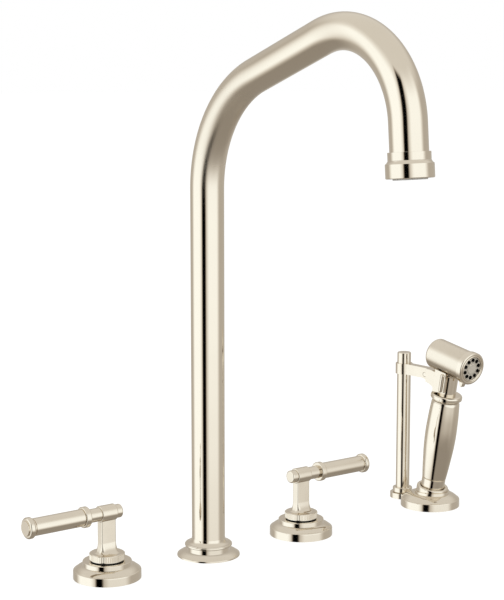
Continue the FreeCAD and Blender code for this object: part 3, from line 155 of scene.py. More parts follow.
# Pale walls, then the ceiling, the table, the panel on each side, and the black gap between them.
all_round = 500
walls = 0.55
mirrored = panel(walls, level=0.80, bearing=0, width=all_round, height=70, tall=80, soft=30)
mirrored = panel(mirrored, level=0.35, bearing=0, width=all_round, height=-70, tall=90, soft=20)
mirrored = panel(mirrored, level=1.25, bearing=75, width=70, height=0, tall=70, soft=30)
mirrored = panel(mirrored, level=1.20, bearing=-40, width=80, height=10, tall=60, soft=30)
mirrored = panel(mirrored, level=0.00, bearing=22, width=25, height=-5, tall=90, soft=10)
ray = wn.new("ShaderNodeLightPath")
soft_level = 0.95
seen = room_blend(ray.outputs["Is Glossy Ray"], soft_level, mirrored)
white_share = room_math("MAXIMUM", ray.outputs["Is Camera Ray"], ray.outputs["Is Transmission Ray"])
level = room_blend(white_share, seen, 1.0)
# The panels are a little cool and the shaded parts of the room are warm.
warm, cool = (1, 0.85, 0.68, 1), (1, 1.04, 1.04, 1)
tinted = wn.new("ShaderNodeMix")
tinted.data_type = "RGBA"
brightest = 1.25
tint_share, dark_tint, light_tint = tinted.inputs[0], tinted.inputs[6], tinted.inputs[7]
wl.new(room_math("DIVIDE", mirrored, brightest, clamp=True), tint_share)
dark_tint.default_value = warm
light_tint.default_value = cool
plain = wn.new("ShaderNodeMix")
plain.data_type = "RGBA"
mirror_share, untinted, room_tint = plain.inputs[0], plain.inputs[6], plain.inputs[7]
untinted.default_value = (1, 1, 1, 1)
wl.new(room_math("SUBTRACT", ray.outputs["Is Glossy Ray"], white_share, clamp=True), mirror_share)
wl.new(tinted.outputs[2], room_tint)
background = wn.new("ShaderNodeBackground")
wl.new(plain.outputs[2], background.inputs["Color"])
wl.new(level, background.inputs["Strength"])
wl.new(background.outputs[0], wn.new("ShaderNodeOutputWorld").inputs["Surface"])

# The worktop: a white board that stays white to its far edge and keeps the faucet's soft shadow.
# The bright parts of the room above are what the metal mirrors, so the board is left out of that.
floor_mesh = bpy.data.meshes.new("worktop")
floor_reach = 30
floor_mesh.from_pydata([(-floor_reach, -floor_reach, 0), (floor_reach, -floor_reach, 0),
                        (floor_reach, floor_reach, 0), (-floor_reach, floor_reach, 0)], [], [(0, 1, 2, 3)])
floor = bpy.data.objects.new("worktop", floor_mesh)
scene.collection.objects.link(floor)
floor.visible_glossy = False
board = bpy.data.materials.new("white_board")
board.use_nodes = True
bn = board.node_tree.nodes
bl = board.node_tree.links
bn.clear()
board_matt = bn.new("ShaderNodeBsdfDiffuse")
board_grey = 0.34
board_matt.inputs["Color"].default_value = (board_grey, board_grey, board_grey, 1)
board_glow = bn.new("ShaderNodeEmission")
board_ray = bn.new("ShaderNodeLightPath")
board_level = bn.new("ShaderNodeMath")
board_level.operation = "MULTIPLY"
glow_to_white = 0.72
board_level.inputs[1].default_value = glow_to_white
bl.new(board_ray.outputs["Is Camera Ray"], board_level.inputs[0])
bl.new(board_level.outputs[0], board_glow.inputs["Strength"])
board_sum = bn.new("ShaderNodeAddShader")
bl.new(board_matt.outputs[0], board_sum.inputs[0])
bl.new(board_glow.outputs[0], board_sum.inputs[1])
bl.new(board_sum.outputs[0], bn.new("ShaderNodeOutputMaterial").inputs["Surface"])
floor_mesh.materials.append(board)
# One broad panel overhead.
lamp_data = bpy.data.lights.new("overhead_panel", "AREA")
lamp_data.shape = "RECTANGLE"
lamp_data.size = 1.2
lamp_data.size_y = 1.2
lamp_data.energy = 9
lamp = bpy.data.objects.new("overhead_panel", lamp_data)
lamp.location = (-0.5, -0.4, 1.6)
lamp.rotation_euler = (Vector((0, 0, 0)) - lamp.location).to_track_quat("-Z", "Y").to_euler()
lamp.visible_glossy = False
scene.collection.objects.link(lamp)

# Deck hardware. Below the deck each group is held by a steel washer and a cast brass nut, and a
# black rubber gasket under each flange keeps water out of the hole.
corner_angle = radians(32)


def plated(name, tone, worn_tone, gloss, gloss_spread, cloud_size, marks, ripple=0.0):
    """A plated or machined metal: clouded tone, uneven gloss, polishing marks and hand-made ripple."""
    material = bpy.data.materials.new(name)
    material.use_nodes = True
    nodes = material.node_tree.nodes
    links = material.node_tree.links
    shader = nodes["Principled BSDF"]
    shader.inputs["Metallic"].default_value = 1.0
    place = nodes.new("ShaderNodeTexCoord").outputs["Object"]
    cloud = nodes.new("ShaderNodeTexNoise")
    cloud.inputs["Scale"].default_value = 1 / cloud_size
    cloud.inputs["Detail"].default_value = 3
    links.new(place, cloud.inputs["Vector"])
    colours = nodes.new("ShaderNodeValToRGB")
    colours.color_ramp.elements[0].position = 0.30
    colours.color_ramp.elements[0].color = (*worn_tone, 1)
    colours.color_ramp.elements[1].position = 0.65
    colours.color_ramp.elements[1].color = (*tone, 1)
    links.new(cloud.outputs["Fac"], colours.inputs[0])
    links.new(colours.outputs[0], shader.inputs["Base Color"])
    smear = nodes.new("ShaderNodeMapRange")
    smear.inputs["From Min"].default_value = 0.3
    smear.inputs["From Max"].default_value = 0.7
    smear.inputs["To Min"].default_value = gloss
    smear.inputs["To Max"].default_value = gloss + gloss_spread
    links.new(cloud.outputs["Fac"], smear.inputs["Value"])
    links.new(smear.outputs[0], shader.inputs["Roughness"])
    grain = nodes.new("ShaderNodeTexNoise")
    grain.inputs["Scale"].default_value = 2600
    grain.inputs["Detail"].default_value = 2
    links.new(place, grain.inputs["Vector"])
    bump = nodes.new("ShaderNodeBump")
    bump.inputs["Strength"].default_value = marks
    bump.inputs["Distance"].default_value = 0.00002
    links.new(grain.outputs["Fac"], bump.inputs["Height"])
    links.new(bump.outputs[0], shader.inputs["Normal"])
    if ripple:
        waves = nodes.new("ShaderNodeTexNoise")
        waves.inputs["Scale"].default_value = 70
        waves.inputs["Detail"].default_value = 1
        links.new(place, waves.inputs["Vector"])
        swell = nodes.new("ShaderNodeBump")
        swell.inputs["Distance"].default_value = ripple
        links.new(waves.outputs["Fac"], swell.inputs["Height"])
        links.new(swell.outputs[0], bump.inputs["Normal"])
    return material


def moulded(name, tone, deep_tone, gloss, gloss_spread, cloud_size, texture):
    """A moulded plastic or rubber: slightly clouded, with the fine skin of its mould."""
    material = bpy.data.materials.new(name)
    material.use_nodes = True
    nodes = material.node_tree.nodes
    links = material.node_tree.links
    shader = nodes["Principled BSDF"]
    place = nodes.new("ShaderNodeTexCoord").outputs["Object"]
    cloud = nodes.new("ShaderNodeTexNoise")
    cloud.inputs["Scale"].default_value = 1 / cloud_size
    cloud.inputs["Detail"].default_value = 4
    links.new(place, cloud.inputs["Vector"])
    colours = nodes.new("ShaderNodeValToRGB")
    colours.color_ramp.elements[0].position = 0.35
    colours.color_ramp.elements[0].color = (*deep_tone, 1)
    colours.color_ramp.elements[1].position = 0.68
    colours.color_ramp.elements[1].color = (*tone, 1)
    links.new(cloud.outputs["Fac"], colours.inputs[0])
    links.new(colours.outputs[0], shader.inputs["Base Color"])
    sheen = nodes.new("ShaderNodeMapRange")
    sheen.inputs["To Min"].default_value = gloss
    sheen.inputs["To Max"].default_value = gloss + gloss_spread
    links.new(cloud.outputs["Fac"], sheen.inputs["Value"])
    links.new(sheen.outputs[0], shader.inputs["Roughness"])
    skin = nodes.new("ShaderNodeTexNoise")
    skin.inputs["Scale"].default_value = 1500
    skin.inputs["Detail"].default_value = 3
    links.new(place, skin.inputs["Vector"])
    bump = nodes.new("ShaderNodeBump")
    bump.inputs["Strength"].default_value = texture
    bump.inputs["Distance"].default_value = 0.00004
    links.new(skin.outputs["Fac"], bump.inputs["Height"])
    links.new(bump.outputs[0], shader.inputs["Normal"])
    return material


def finished(node, body, material, edge=0.00015):
    """The machined piece with its corners broken, its curves smooth and its finish on."""
    mesh = bpy.data.meshes.new(f"{node}_piece")
    form = bmesh.new()
    form.from_mesh(frame["nodes"][node].data)
    same_spot = 2e-6
    bmesh.ops.remove_doubles(form, verts=form.verts, dist=same_spot)
    bmesh.ops.dissolve_limit(form, angle_limit=radians(0.4), verts=form.verts, edges=form.edges)
    form.to_mesh(mesh)
    form.free()
    mesh.materials.clear()
    mesh.materials.append(material)
    mesh.shade_smooth()
    mesh.set_sharp_from_angle(angle=corner_angle)
    piece = bpy.data.objects.new(f"{node}_piece", mesh)
    scene.collection.objects.link(piece)
    if edge:
        bevel = piece.modifiers.new("broken_corners", "BEVEL")
        bevel.width = edge
        bevel.segments = 2
        bevel.limit_method = "ANGLE"
        bevel.angle_limit = corner_angle
        bevel.harden_normals = False
    even = piece.modifiers.new("even_shade", "WEIGHTED_NORMAL")
    even.keep_sharp = True
    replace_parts(piece, node)
    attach(piece, body)
    return piece


rubber = moulded("black_rubber", (0.012, 0.011, 0.010), (0.007, 0.007, 0.006), 0.55, 0.20, 0.006, 0.35)
rubber.node_tree.nodes["Principled BSDF"].inputs["Specular IOR Level"].default_value = 0.2
steel = plated("stainless_steel", (0.62, 0.61, 0.59), (0.54, 0.53, 0.51), 0.28, 0.14, 0.012, 0.30)
brass = plated("machined_brass", (0.76, 0.56, 0.26), (0.66, 0.46, 0.20), 0.26, 0.16, 0.010, 0.35)
finished("base_gaskets", "root", rubber, edge=0.0003)
finished("clamp_washers", "root", steel, edge=0.0002)
finished("mounting_nuts", "root", brass, edge=0.0006)

# Spout shank and tee. Machined brass tubes: the shank is threaded all the way down for its nut, and
# the tee screws into it from below with its two side outlets for the hoses from the valves.


def recipe(name, sizes):
    """An empty Geometry Nodes recipe with its sizes and its finish as named inputs."""
    tree = bpy.data.node_groups.new(name, "GeometryNodeTree")
    tree.interface.new_socket("Form", in_out="OUTPUT", socket_type="NodeSocketGeometry")
    for label, size in sizes.items():
        kind = "NodeSocketInt" if isinstance(size, int) else "NodeSocketFloat"
        tree.interface.new_socket(label, in_out="INPUT", socket_type=kind).default_value = size
    tree.interface.new_socket("Finish", in_out="INPUT", socket_type="NodeSocketMaterial")
    return tree, tree.nodes.new("NodeGroupInput").outputs


def joined(tree, kind, **feeds):
    """A node of the recipe with its named inputs fed from outputs or set to values."""
    node = tree.nodes.new(kind)
    for label, feed in feeds.items():
        socket = node.inputs[label.replace("_", " ")]
        if isinstance(feed, bpy.types.NodeSocket):
            tree.links.new(feed, socket)
        else:
            socket.default_value = feed
    return node


def sum_of(tree, operation, *terms):
    """One sum of the recipe, from outputs and plain values."""
    node = tree.nodes.new("ShaderNodeMath")
    node.operation = operation
    for socket, term in zip(node.inputs, terms):
        if isinstance(term, bpy.types.NodeSocket):
            tree.links.new(term, socket)
        else:
            socket.default_value = term
    return node.outputs[0]


def closed_off(tree, inputs, form):
    """The recipe's last steps: real faces, smooth where curved, and the finish on them."""
    real = joined(tree, "GeometryNodeRealizeInstances", Geometry=form)
    smooth = joined(tree, "GeometryNodeSetShadeSmooth", Geometry=real.outputs[0])
    finish = joined(tree, "GeometryNodeSetMaterial", Geometry=smooth.outputs[0], Material=inputs["Finish"])
    tree.links.new(finish.outputs[0], tree.nodes.new("NodeGroupOutput").inputs[0])


def made(name, tree, body, material, slot, place=None, **sizes):
    """A plain mesh piece that a recipe gives with these sizes, set in its place on its body."""
    piece = bpy.data.objects.new(name, bpy.data.meshes.new(name))
    scene.collection.objects.link(piece)
    step = piece.modifiers.new("recipe", "NODES")
    step.node_group = tree
    sizes["Finish"] = material
    for socket in tree.interface.items_tree:
        label = socket.name.replace(" ", "_")
        if socket.in_out == "INPUT" and label in sizes:
            step[socket.identifier] = sizes[label]
    graph = bpy.context.evaluated_depsgraph_get()
    mesh = bpy.data.meshes.new_from_object(piece.evaluated_get(graph), depsgraph=graph)
    piece.modifiers.clear()
    piece.data = mesh
    if place:
        mesh.transform(place)
    mesh.set_sharp_from_angle(angle=corner_angle)
    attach(piece, body)
    return piece


# A thread is one ridge that climbs round a rod: across, the grid runs foot, crest, foot, and along,
# it goes round once for each pitch.
thread, given = recipe("cut_thread", {"Root": 0.0135, "Depth": 0.0006, "Start": 0.0, "End": 0.02, "Pitch": 0.0015,
                                      "Steps": 240})
grid = joined(thread, "GeometryNodeMeshGrid", Size_X=1.0, Size_Y=1.0, Vertices_X=3, Vertices_Y=given["Steps"])
spot = joined(thread, "ShaderNodeSeparateXYZ", Vector=thread.nodes.new("GeometryNodeInputPosition").outputs[0])
along = sum_of(thread, "ADD", spot.outputs["Y"], 0.5)
climb = sum_of(thread, "SUBTRACT", given["End"], given["Start"])
rounds = sum_of(thread, "DIVIDE", sum_of(thread, "MULTIPLY", along, climb), given["Pitch"])
bearing = sum_of(thread, "MULTIPLY", rounds, 2 * pi)
off_crest = sum_of(thread, "ABSOLUTE", spot.outputs["X"])
flank_drop = 2.2
stand = sum_of(thread, "MULTIPLY_ADD", off_crest, -flank_drop, 1.0)
reach = sum_of(thread, "MULTIPLY_ADD", stand, given["Depth"], given["Root"])
level_here = sum_of(thread, "MULTIPLY_ADD", spot.outputs["X"], given["Pitch"],
                    sum_of(thread, "MULTIPLY_ADD", along, climb, given["Start"]))
spin = joined(thread, "ShaderNodeCombineXYZ",
              X=sum_of(thread, "MULTIPLY", reach, sum_of(thread, "COSINE", bearing)),
              Y=sum_of(thread, "MULTIPLY", reach, sum_of(thread, "SINE", bearing)), Z=level_here)
wound = joined(thread, "GeometryNodeSetPosition", Geometry=grid.outputs["Mesh"], Position=spin.outputs[0])
outward = joined(thread, "GeometryNodeFlipFaces", Mesh=wound.outputs[0])
closed_off(thread, given, outward.outputs[0])


def threaded(node, body, material, slot, spot_x, root, crest, low, high, pitch):
    """Turn a rod's wall down to the thread's root and wind the thread on it."""
    piece = finished(node, body, material)
    off_wall, off_end, steps_a_turn = 3e-5, 1e-4, 20
    for vertex in piece.data.vertices:
        out = Vector((vertex.co.x - spot_x, vertex.co.y))
        if abs(out.length - crest) < off_wall and low - off_end < vertex.co.z < high + off_end:
            out *= root / out.length
            vertex.co.x, vertex.co.y = out.x + spot_x, out.y
    run_out = pitch * 0.6
    made(f"{node}_thread", thread, body, material, slot, Matrix.Translation((spot_x, 0, 0)), Root=root,
         Depth=crest - root, Start=low + run_out, End=high - run_out, Pitch=pitch,
         Steps=int((high - low) / pitch * steps_a_turn))


shank_crest = 0.014
shank_root = 0.0133
shank_end = -0.045
shank_pitch = 0.0015
threaded("spout_shank", "root", brass, "brass", 0, shank_root, shank_crest, low=shank_end, high=0.0076,
         pitch=shank_pitch)
finished("spout_tee", "root", brass)
threaded("diverter_body", "root", brass, "brass", 0, root=0.0064, crest=0.007, low=-0.104, high=-0.090, pitch=0.0014)
finished("diverter_piston", "diverter", brass)

# Spout journal and diverter spring. A turned brass sleeve pressed into the tube's foot turns in the
# shank on two rubber rings and a white glide ring, so the spout swings by hand and stays where it is
# put. In the tee a steel spring, which the rising piston presses together, holds the diverter down.


def coloured(node, material):
    """A piece that is right as it was drawn and only gets its finish."""
    solid = frame["nodes"][node]
    solid.data.materials.clear()
    solid.data.materials.append(material)


acetal = moulded("white_acetal", (0.83, 0.82, 0.79), (0.76, 0.75, 0.72), 0.32, 0.15, 0.015, 0.12)
finished("spout_spigot", "spout", brass)
coloured("spout_orings", rubber)
spring = finished("diverter_spring", "root", steel, edge=0)
low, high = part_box("diverter_spring")
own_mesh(spring)
finished("spout_glide_ring", "root", acetal, edge=0.00008)

# Spout foot. A turned brass deck flange, and above it a lipped ring with a cove up to the tube,
# both polished and plated in warm nickel. The ring turns with the spout on a hairline gap.
nickel = plated("polished_nickel", (0.800, 0.735, 0.635), (0.780, 0.715, 0.615), 0.055, 0.03, 0.03, 0.04)
finished("spout_flange", "root", nickel)
finished("spout_foot_ring", "spout", nickel)

# Spout tube. One length of drawn brass tube, bent on two formers of different size and polished
# by hand, so the mirrored room runs along it without a seam.
bent, given = recipe("bent_tube", {"Foot": 0.00945, "Rise": 0.310, "First Bend": 0.0982, "First Turn": radians(70.5),
                                   "Slope": 0.0841, "Second Bend": 0.0707, "Second Turn": radians(105.0),
                                   "Tail": 0.0252, "Radius": 0.0140, "Stations": 260, "Sides": 96})
first_arc = sum_of(bent, "MULTIPLY", given["First Bend"], given["First Turn"])
second_arc = sum_of(bent, "MULTIPLY", given["Second Bend"], given["Second Turn"])
runs = [sum_of(bent, "SUBTRACT", given["Rise"], given["Foot"]), first_arc, given["Slope"], second_arc, given["Tail"]]
whole = runs[0]
for run in runs[1:]:
    whole = sum_of(bent, "ADD", whole, run)
index = bent.nodes.new("GeometryNodeInputIndex").outputs[0]
steps = sum_of(bent, "SUBTRACT", given["Stations"], 1.0)
left_over = sum_of(bent, "MULTIPLY", sum_of(bent, "DIVIDE", index, steps), whole)
passed = []
for run in runs:
    passed.append(sum_of(bent, "MINIMUM", sum_of(bent, "MAXIMUM", left_over, 0.0), run))
    left_over = sum_of(bent, "SUBTRACT", left_over, run)
turn_one = sum_of(bent, "DIVIDE", passed[1], given["First Bend"])
turn_two = sum_of(bent, "ADD", given["First Turn"], sum_of(bent, "DIVIDE", passed[3], given["Second Bend"]))
full_turn = sum_of(bent, "ADD", given["First Turn"], given["Second Turn"])
reach_parts = [
    sum_of(bent, "MULTIPLY", given["First Bend"], sum_of(bent, "SUBTRACT", 1.0, sum_of(bent, "COSINE", turn_one))),
    sum_of(bent, "MULTIPLY", passed[2], sum_of(bent, "SINE", given["First Turn"])),
    sum_of(bent, "MULTIPLY", given["Second Bend"],
           sum_of(bent, "SUBTRACT", sum_of(bent, "COSINE", given["First Turn"]), sum_of(bent, "COSINE", turn_two))),
    sum_of(bent, "MULTIPLY", passed[4], sum_of(bent, "SINE", full_turn)),
]
rise_parts = [
    passed[0],
    sum_of(bent, "MULTIPLY", given["First Bend"], sum_of(bent, "SINE", turn_one)),
    sum_of(bent, "MULTIPLY", passed[2], sum_of(bent, "COSINE", given["First Turn"])),
    sum_of(bent, "MULTIPLY", given["Second Bend"],
           sum_of(bent, "SUBTRACT", sum_of(bent, "SINE", turn_two), sum_of(bent, "SINE", given["First Turn"]))),
    sum_of(bent, "MULTIPLY", passed[4], sum_of(bent, "COSINE", full_turn)),
]
reach = reach_parts[0]
for part in reach_parts[1:]:
    reach = sum_of(bent, "ADD", reach, part)
rise_here = given["Foot"]
for part in rise_parts:
    rise_here = sum_of(bent, "ADD", rise_here, part)
path_point = joined(bent, "ShaderNodeCombineXYZ", Y=sum_of(bent, "MULTIPLY", reach, -1.0), Z=rise_here)
plain_line = joined(bent, "GeometryNodeCurvePrimitiveLine")
stations = joined(bent, "GeometryNodeResampleCurve", Curve=plain_line.outputs[0], Count=given["Stations"])
path = joined(bent, "GeometryNodeSetPosition", Geometry=stations.outputs[0], Position=path_point.outputs[0])
ring = joined(bent, "GeometryNodeCurvePrimitiveCircle", Radius=given["Radius"], Resolution=given["Sides"])
swept = joined(bent, "GeometryNodeCurveToMesh", Curve=path.outputs[0], Profile_Curve=ring.outputs[0])
closed_off(bent, given, swept.outputs[0])
tube_nickel = plated("tube_nickel", (0.800, 0.735, 0.635), (0.785, 0.720, 0.620), 0.050, 0.025, 0.04, 0.03)
# The inside of the first bend is out of the polishing wheel's easy reach and stays duller.
tn = tube_nickel.node_tree.nodes
tl = tube_nickel.node_tree.links
polish = tn["Principled BSDF"].inputs["Roughness"].links[0].from_socket
off_bend = tn.new("ShaderNodeVectorMath")
off_bend.operation = "DISTANCE"
inside_bend = (0, -0.035, 0.360)
off_bend.inputs[1].default_value = inside_bend
tl.new(tn.new("ShaderNodeTexCoord").outputs["Object"], off_bend.inputs[0])
dullness = tn.new("ShaderNodeMapRange")
dullness.inputs["From Min"].default_value = 0.030
dullness.inputs["From Max"].default_value = 0.075
dullness.inputs["To Min"].default_value = 0.24
dullness.inputs["To Max"].default_value = 0.0
tl.new(off_bend.outputs["Value"], dullness.inputs["Value"])
worked = tn.new("ShaderNodeMath")
tl.new(polish, worked.inputs[0])
tl.new(dullness.outputs[0], worked.inputs[1])
tl.new(worked.outputs[0], tn["Principled BSDF"].inputs["Roughness"])
tube = made("spout_tube_piece", bent, "spout", tube_nickel, "polished_nickel")
wall = tube.modifiers.new("wall", "SOLIDIFY")
wall.thickness = 0.0014
wall.offset = -1
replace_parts(tube, "spout_tube")

# Outlet. A plated collar is soldered round the tube's end. The flared shell screws on its thread
# and holds a washer and the white flow core that lets air into the stream.
finished("outlet_collar", "spout", nickel, edge=0.0003)
finished("aerator_shell", "spout", nickel, edge=0.0002)
finished("aerator_washer", "spout", rubber, edge=0.0001)
finished("aerator_core", "spout", acetal, edge=0.00012)

# Handle valves. Each is a machined brass body with a threaded shank, a side outlet to the tee and
# an inlet below. A sealed cartridge drops in from above, held down by a steel nut.
valve_step = 0.1016
inlet_wall = 0.01048
for hand, spot_x in (("left", -valve_step), ("right", valve_step)):
    threaded(f"{hand}_valve_body", "root", brass, "brass", spot_x, shank_root, shank_crest, low=-0.066, high=0.009,
             pitch=shank_pitch)
    made(f"{hand}_inlet_thread", thread, "root", brass, "brass", Matrix.Translation((spot_x, 0, 0)), Root=inlet_wall,
         Depth=0.0004, Start=-0.0795, End=-0.067, Pitch=0.0018, Steps=140)
    finished(f"{hand}_cartridge", "root", acetal)
    finished(f"{hand}_stem", f"{hand}_handle", brass)
finished("bonnet_nuts", "root", steel, edge=0.0003)

# Handle bases. Turned brass escutcheons screwed down on the valve shanks: an upright rim, a low
# dome and a raised ring that the handle's skirt drops into, all polished and nickel plated.
for hand in ("left", "right"):
    finished(f"{hand}_handle_base", "root", nickel)

# Handle hubs. One casting each: a skirt, a disc with a fine coin edge and a plain lower lip, a flat
# pillar that flares into the disc, and a cross barrel. A black rubber ring in the slit below is painted shade that
# darkens the slit.
cast_nickel = plated("cast_nickel", (0.800, 0.735, 0.635), (0.775, 0.708, 0.608), 0.075, 0.04, 0.02, 0.06,
                     ripple=0.00016)
coined, given = recipe("coin_edge", {"Ridges": 60, "Circle": 0.01385, "Ridge": 0.00062, "Foot": 0.0157,
                                     "Height": 0.0045})
ring = joined(coined, "GeometryNodeMeshCircle", Vertices=given["Ridges"], Radius=given["Circle"])
lifted = joined(coined, "GeometryNodeSetPosition", Geometry=ring.outputs[0],
                Offset=joined(coined, "ShaderNodeCombineXYZ",
                              Z=sum_of(coined, "MULTIPLY_ADD", given["Height"], 0.5, given["Foot"])).outputs[0])
ridge = joined(coined, "GeometryNodeMeshCylinder", Vertices=8, Radius=given["Ridge"], Depth=given["Height"])
row = joined(coined, "GeometryNodeInstanceOnPoints", Points=lifted.outputs[0], Instance=ridge.outputs["Mesh"])
closed_off(coined, given, row.outputs[0])
sleeve, given = recipe("round_sleeve", {"Radius": 0.0141, "Foot": 0.0152, "Height": 0.0010})
tube_wall = joined(sleeve, "GeometryNodeMeshCylinder", Vertices=72, Radius=given["Radius"], Depth=given["Height"])
set_up = joined(sleeve, "GeometryNodeSetPosition", Geometry=tube_wall.outputs["Mesh"],
                Offset=joined(sleeve, "ShaderNodeCombineXYZ",
                              Z=sum_of(sleeve, "MULTIPLY_ADD", given["Height"], 0.5, given["Foot"])).outputs[0])
closed_off(sleeve, given, set_up.outputs[0])
for hand, spot_x in (("left", -valve_step), ("right", valve_step)):
    finished(f"{hand}_hub", f"{hand}_handle", cast_nickel, edge=0.0003)
    here = Matrix.Translation((spot_x, 0, 0))
    made(f"{hand}_coin_edge", coined, f"{hand}_handle", nickel, "polished_nickel", here)
    made(f"{hand}_lower_lip", sleeve, f"{hand}_handle", nickel, "polished_nickel", here)
    # This black ring is painted shade: it makes the slit under the disc read dark.
    made(f"{hand}_dust_sleeve", sleeve, f"{hand}_handle", rubber, "rubber", here, Radius=0.0134, Foot=0.01435,
         Height=0.0011)

# Socket screws. Short steel screws with a hexagon socket hold the hubs on their stems from behind,
# and a smaller one clamps the holder arm on its post.


def socket_screw(node, body, radius, length, socket, middle):
    """A headless screw along Y with its hexagon socket towards the back."""
    form = bmesh.new()
    corners = 48
    rows = [(radius, 0.0), (radius, length - radius * 0.2), (radius * 0.8, length)]
    rings = [[form.verts.new((far * cos(2 * pi * k / corners), high, far * sin(2 * pi * k / corners)))
              for k in range(corners)] for far, high in rows]
    hexagon = []
    for k in range(corners):
        bearing = 2 * pi * k / corners
        flat = cos(pi / 6) / cos((bearing % (pi / 3)) - pi / 6)
        hexagon.append((socket * flat * cos(bearing), socket * flat * sin(bearing)))
    deep = 1.2 * socket
    for high in (length, length - deep):
        rings.append([form.verts.new((x, high, z)) for x, z in hexagon])
    for inner, outer in zip(rings, rings[1:]):
        for k in range(corners):
            form.faces.new((inner[k - 1], inner[k], outer[k], outer[k - 1]))
    form.faces.new(rings[0])
    form.faces.new(rings[-1])
    bmesh.ops.recalc_face_normals(form, faces=form.faces)
    mesh = bpy.data.meshes.new(f"{node}_piece")
    form.to_mesh(mesh)
    form.free()
    mesh.transform(Matrix.Translation(middle))
    mesh.materials.append(steel)
    mesh.shade_smooth()
    mesh.set_sharp_from_angle(angle=corner_angle)
    piece = bpy.data.objects.new(f"{node}_piece", mesh)
    scene.collection.objects.link(piece)
    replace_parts(piece, node)
    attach(piece, body)


for hand, spot_x in (("left", -valve_step), ("right", valve_step)):
    low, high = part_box(f"{hand}_set_screw")
    middle = (spot_x, low[1], (low[2] + high[2]) / 2)
    socket_screw(f"{hand}_set_screw", f"{hand}_handle", 0.002, high[1] - low[1], 0.0011, middle)

# Levers. A turned rod is pressed through the barrel and shows its stub behind. A collar and a
# smooth grip are fixed on it, and an end cap with a flat button closes the grip.
for hand in ("left", "right"):
    for part in ("lever_rod", "lever_collar", "grip", "end_cap"):
        finished(f"{hand}_{part}", f"{hand}_handle", nickel)

# Sprayer base. A turned rim and cone with a leaning boss and an ear for the post, cast in brass
# and plated. The cup is pressed into the boss, and the hose comes up through the threaded shank.
spray_step = 0.2597
threaded("spray_shank", "root", brass, "brass", spray_step, shank_root, shank_crest, low=shank_end, high=0.0065,
         pitch=shank_pitch)
finished("spray_base", "root", cast_nickel, edge=0.0004)
finished("spray_cup", "root", nickel, edge=0.0002)

# Sprayer body. A ferrule stands in the cup and takes the hose. The swelling eight-sided grip with
# its crowned flats and the flared collar are cast and polished, and a plain neck carries the head.
grip_form, given = recipe("swelling_grip", {"Foot": 0.027, "Height": 0.077, "Girth": 0.015, "Flats": 8, "Crown": 11.0,
                                            "Twist": radians(16.7), "Foot Turned": 0.0106, "Top Turned": 0.0122,
                                            "Turned Run": 0.005, "Around": 193, "Along": 160})
sheet = joined(grip_form, "GeometryNodeMeshGrid", Size_X=1.0, Size_Y=1.0, Vertices_X=given["Around"],
               Vertices_Y=given["Along"])
spot = joined(grip_form, "ShaderNodeSeparateXYZ", Vector=grip_form.nodes.new("GeometryNodeInputPosition").outputs[0])
row_step = sum_of(grip_form, "DIVIDE", 1.0, sum_of(grip_form, "SUBTRACT", given["Along"], 1.0))
along = sum_of(grip_form, "ADD", spot.outputs["Y"], 0.5)
open_span = sum_of(grip_form, "MULTIPLY_ADD", row_step, -2.0, 1.0)
share = sum_of(grip_form, "DIVIDE", sum_of(grip_form, "SUBTRACT", along, row_step), open_span)
share = sum_of(grip_form, "MINIMUM", sum_of(grip_form, "MAXIMUM", share, 0.0), 1.0)
swell = joined(grip_form, "ShaderNodeFloatCurve", Value=share)
curve = swell.mapping.curves[0]
for (place, girth), point in zip(((0, 0.747), (1, 0.867)), curve.points):
    point.location = (place, girth)
for place, girth in ((0.234, 0.873), (0.494, 0.967), (0.753, 0.953)):
    curve.points.new(place, girth)
swell.mapping.update()
flat_half = sum_of(grip_form, "DIVIDE", pi, given["Flats"])
crown_room = 1.07
apothem = sum_of(grip_form, "MULTIPLY", sum_of(grip_form, "MULTIPLY", swell.outputs[0], given["Girth"]),
                 sum_of(grip_form, "MULTIPLY", sum_of(grip_form, "COSINE", flat_half), crown_room))
bearing = sum_of(grip_form, "MULTIPLY_ADD", spot.outputs["X"], 2 * pi, pi)
off_flat = sum_of(grip_form, "SUBTRACT", sum_of(grip_form, "ADD", bearing, given["Twist"]), flat_half)
off_flat = sum_of(grip_form, "WRAP", off_flat, flat_half, sum_of(grip_form, "MULTIPLY", flat_half, -1.0))
off_flat = sum_of(grip_form, "ABSOLUTE", off_flat)
near = sum_of(grip_form, "POWER", sum_of(grip_form, "COSINE", off_flat), given["Crown"])
next_flat = sum_of(grip_form, "SUBTRACT", sum_of(grip_form, "MULTIPLY", flat_half, 2.0), off_flat)
far = sum_of(grip_form, "POWER", sum_of(grip_form, "COSINE", next_flat), given["Crown"])
rounding = sum_of(grip_form, "POWER", sum_of(grip_form, "ADD", near, far),
                  sum_of(grip_form, "DIVIDE", -1.0, given["Crown"]))
reach = sum_of(grip_form, "MULTIPLY", apothem, rounding)
station = sum_of(grip_form, "MULTIPLY", share, given["Height"])
foot_slope = sum_of(grip_form, "DIVIDE", sum_of(grip_form, "SUBTRACT", given["Girth"], given["Foot Turned"]),
                    given["Turned Run"])
foot_cut = sum_of(grip_form, "MULTIPLY_ADD", station, foot_slope, given["Foot Turned"])
top_slope = sum_of(grip_form, "DIVIDE", sum_of(grip_form, "SUBTRACT", given["Girth"], given["Top Turned"]),
                   given["Turned Run"])
top_cut = sum_of(grip_form, "MULTIPLY_ADD", sum_of(grip_form, "SUBTRACT", given["Height"], station), top_slope,
                 given["Top Turned"])
reach = sum_of(grip_form, "MINIMUM", reach, sum_of(grip_form, "MINIMUM", foot_cut, top_cut))
off_middle = sum_of(grip_form, "ABSOLUTE", spot.outputs["Y"])
first_and_last = 0.4999
on_skin = sum_of(grip_form, "LESS_THAN", off_middle, first_and_last)
reach = sum_of(grip_form, "MULTIPLY", reach, on_skin)
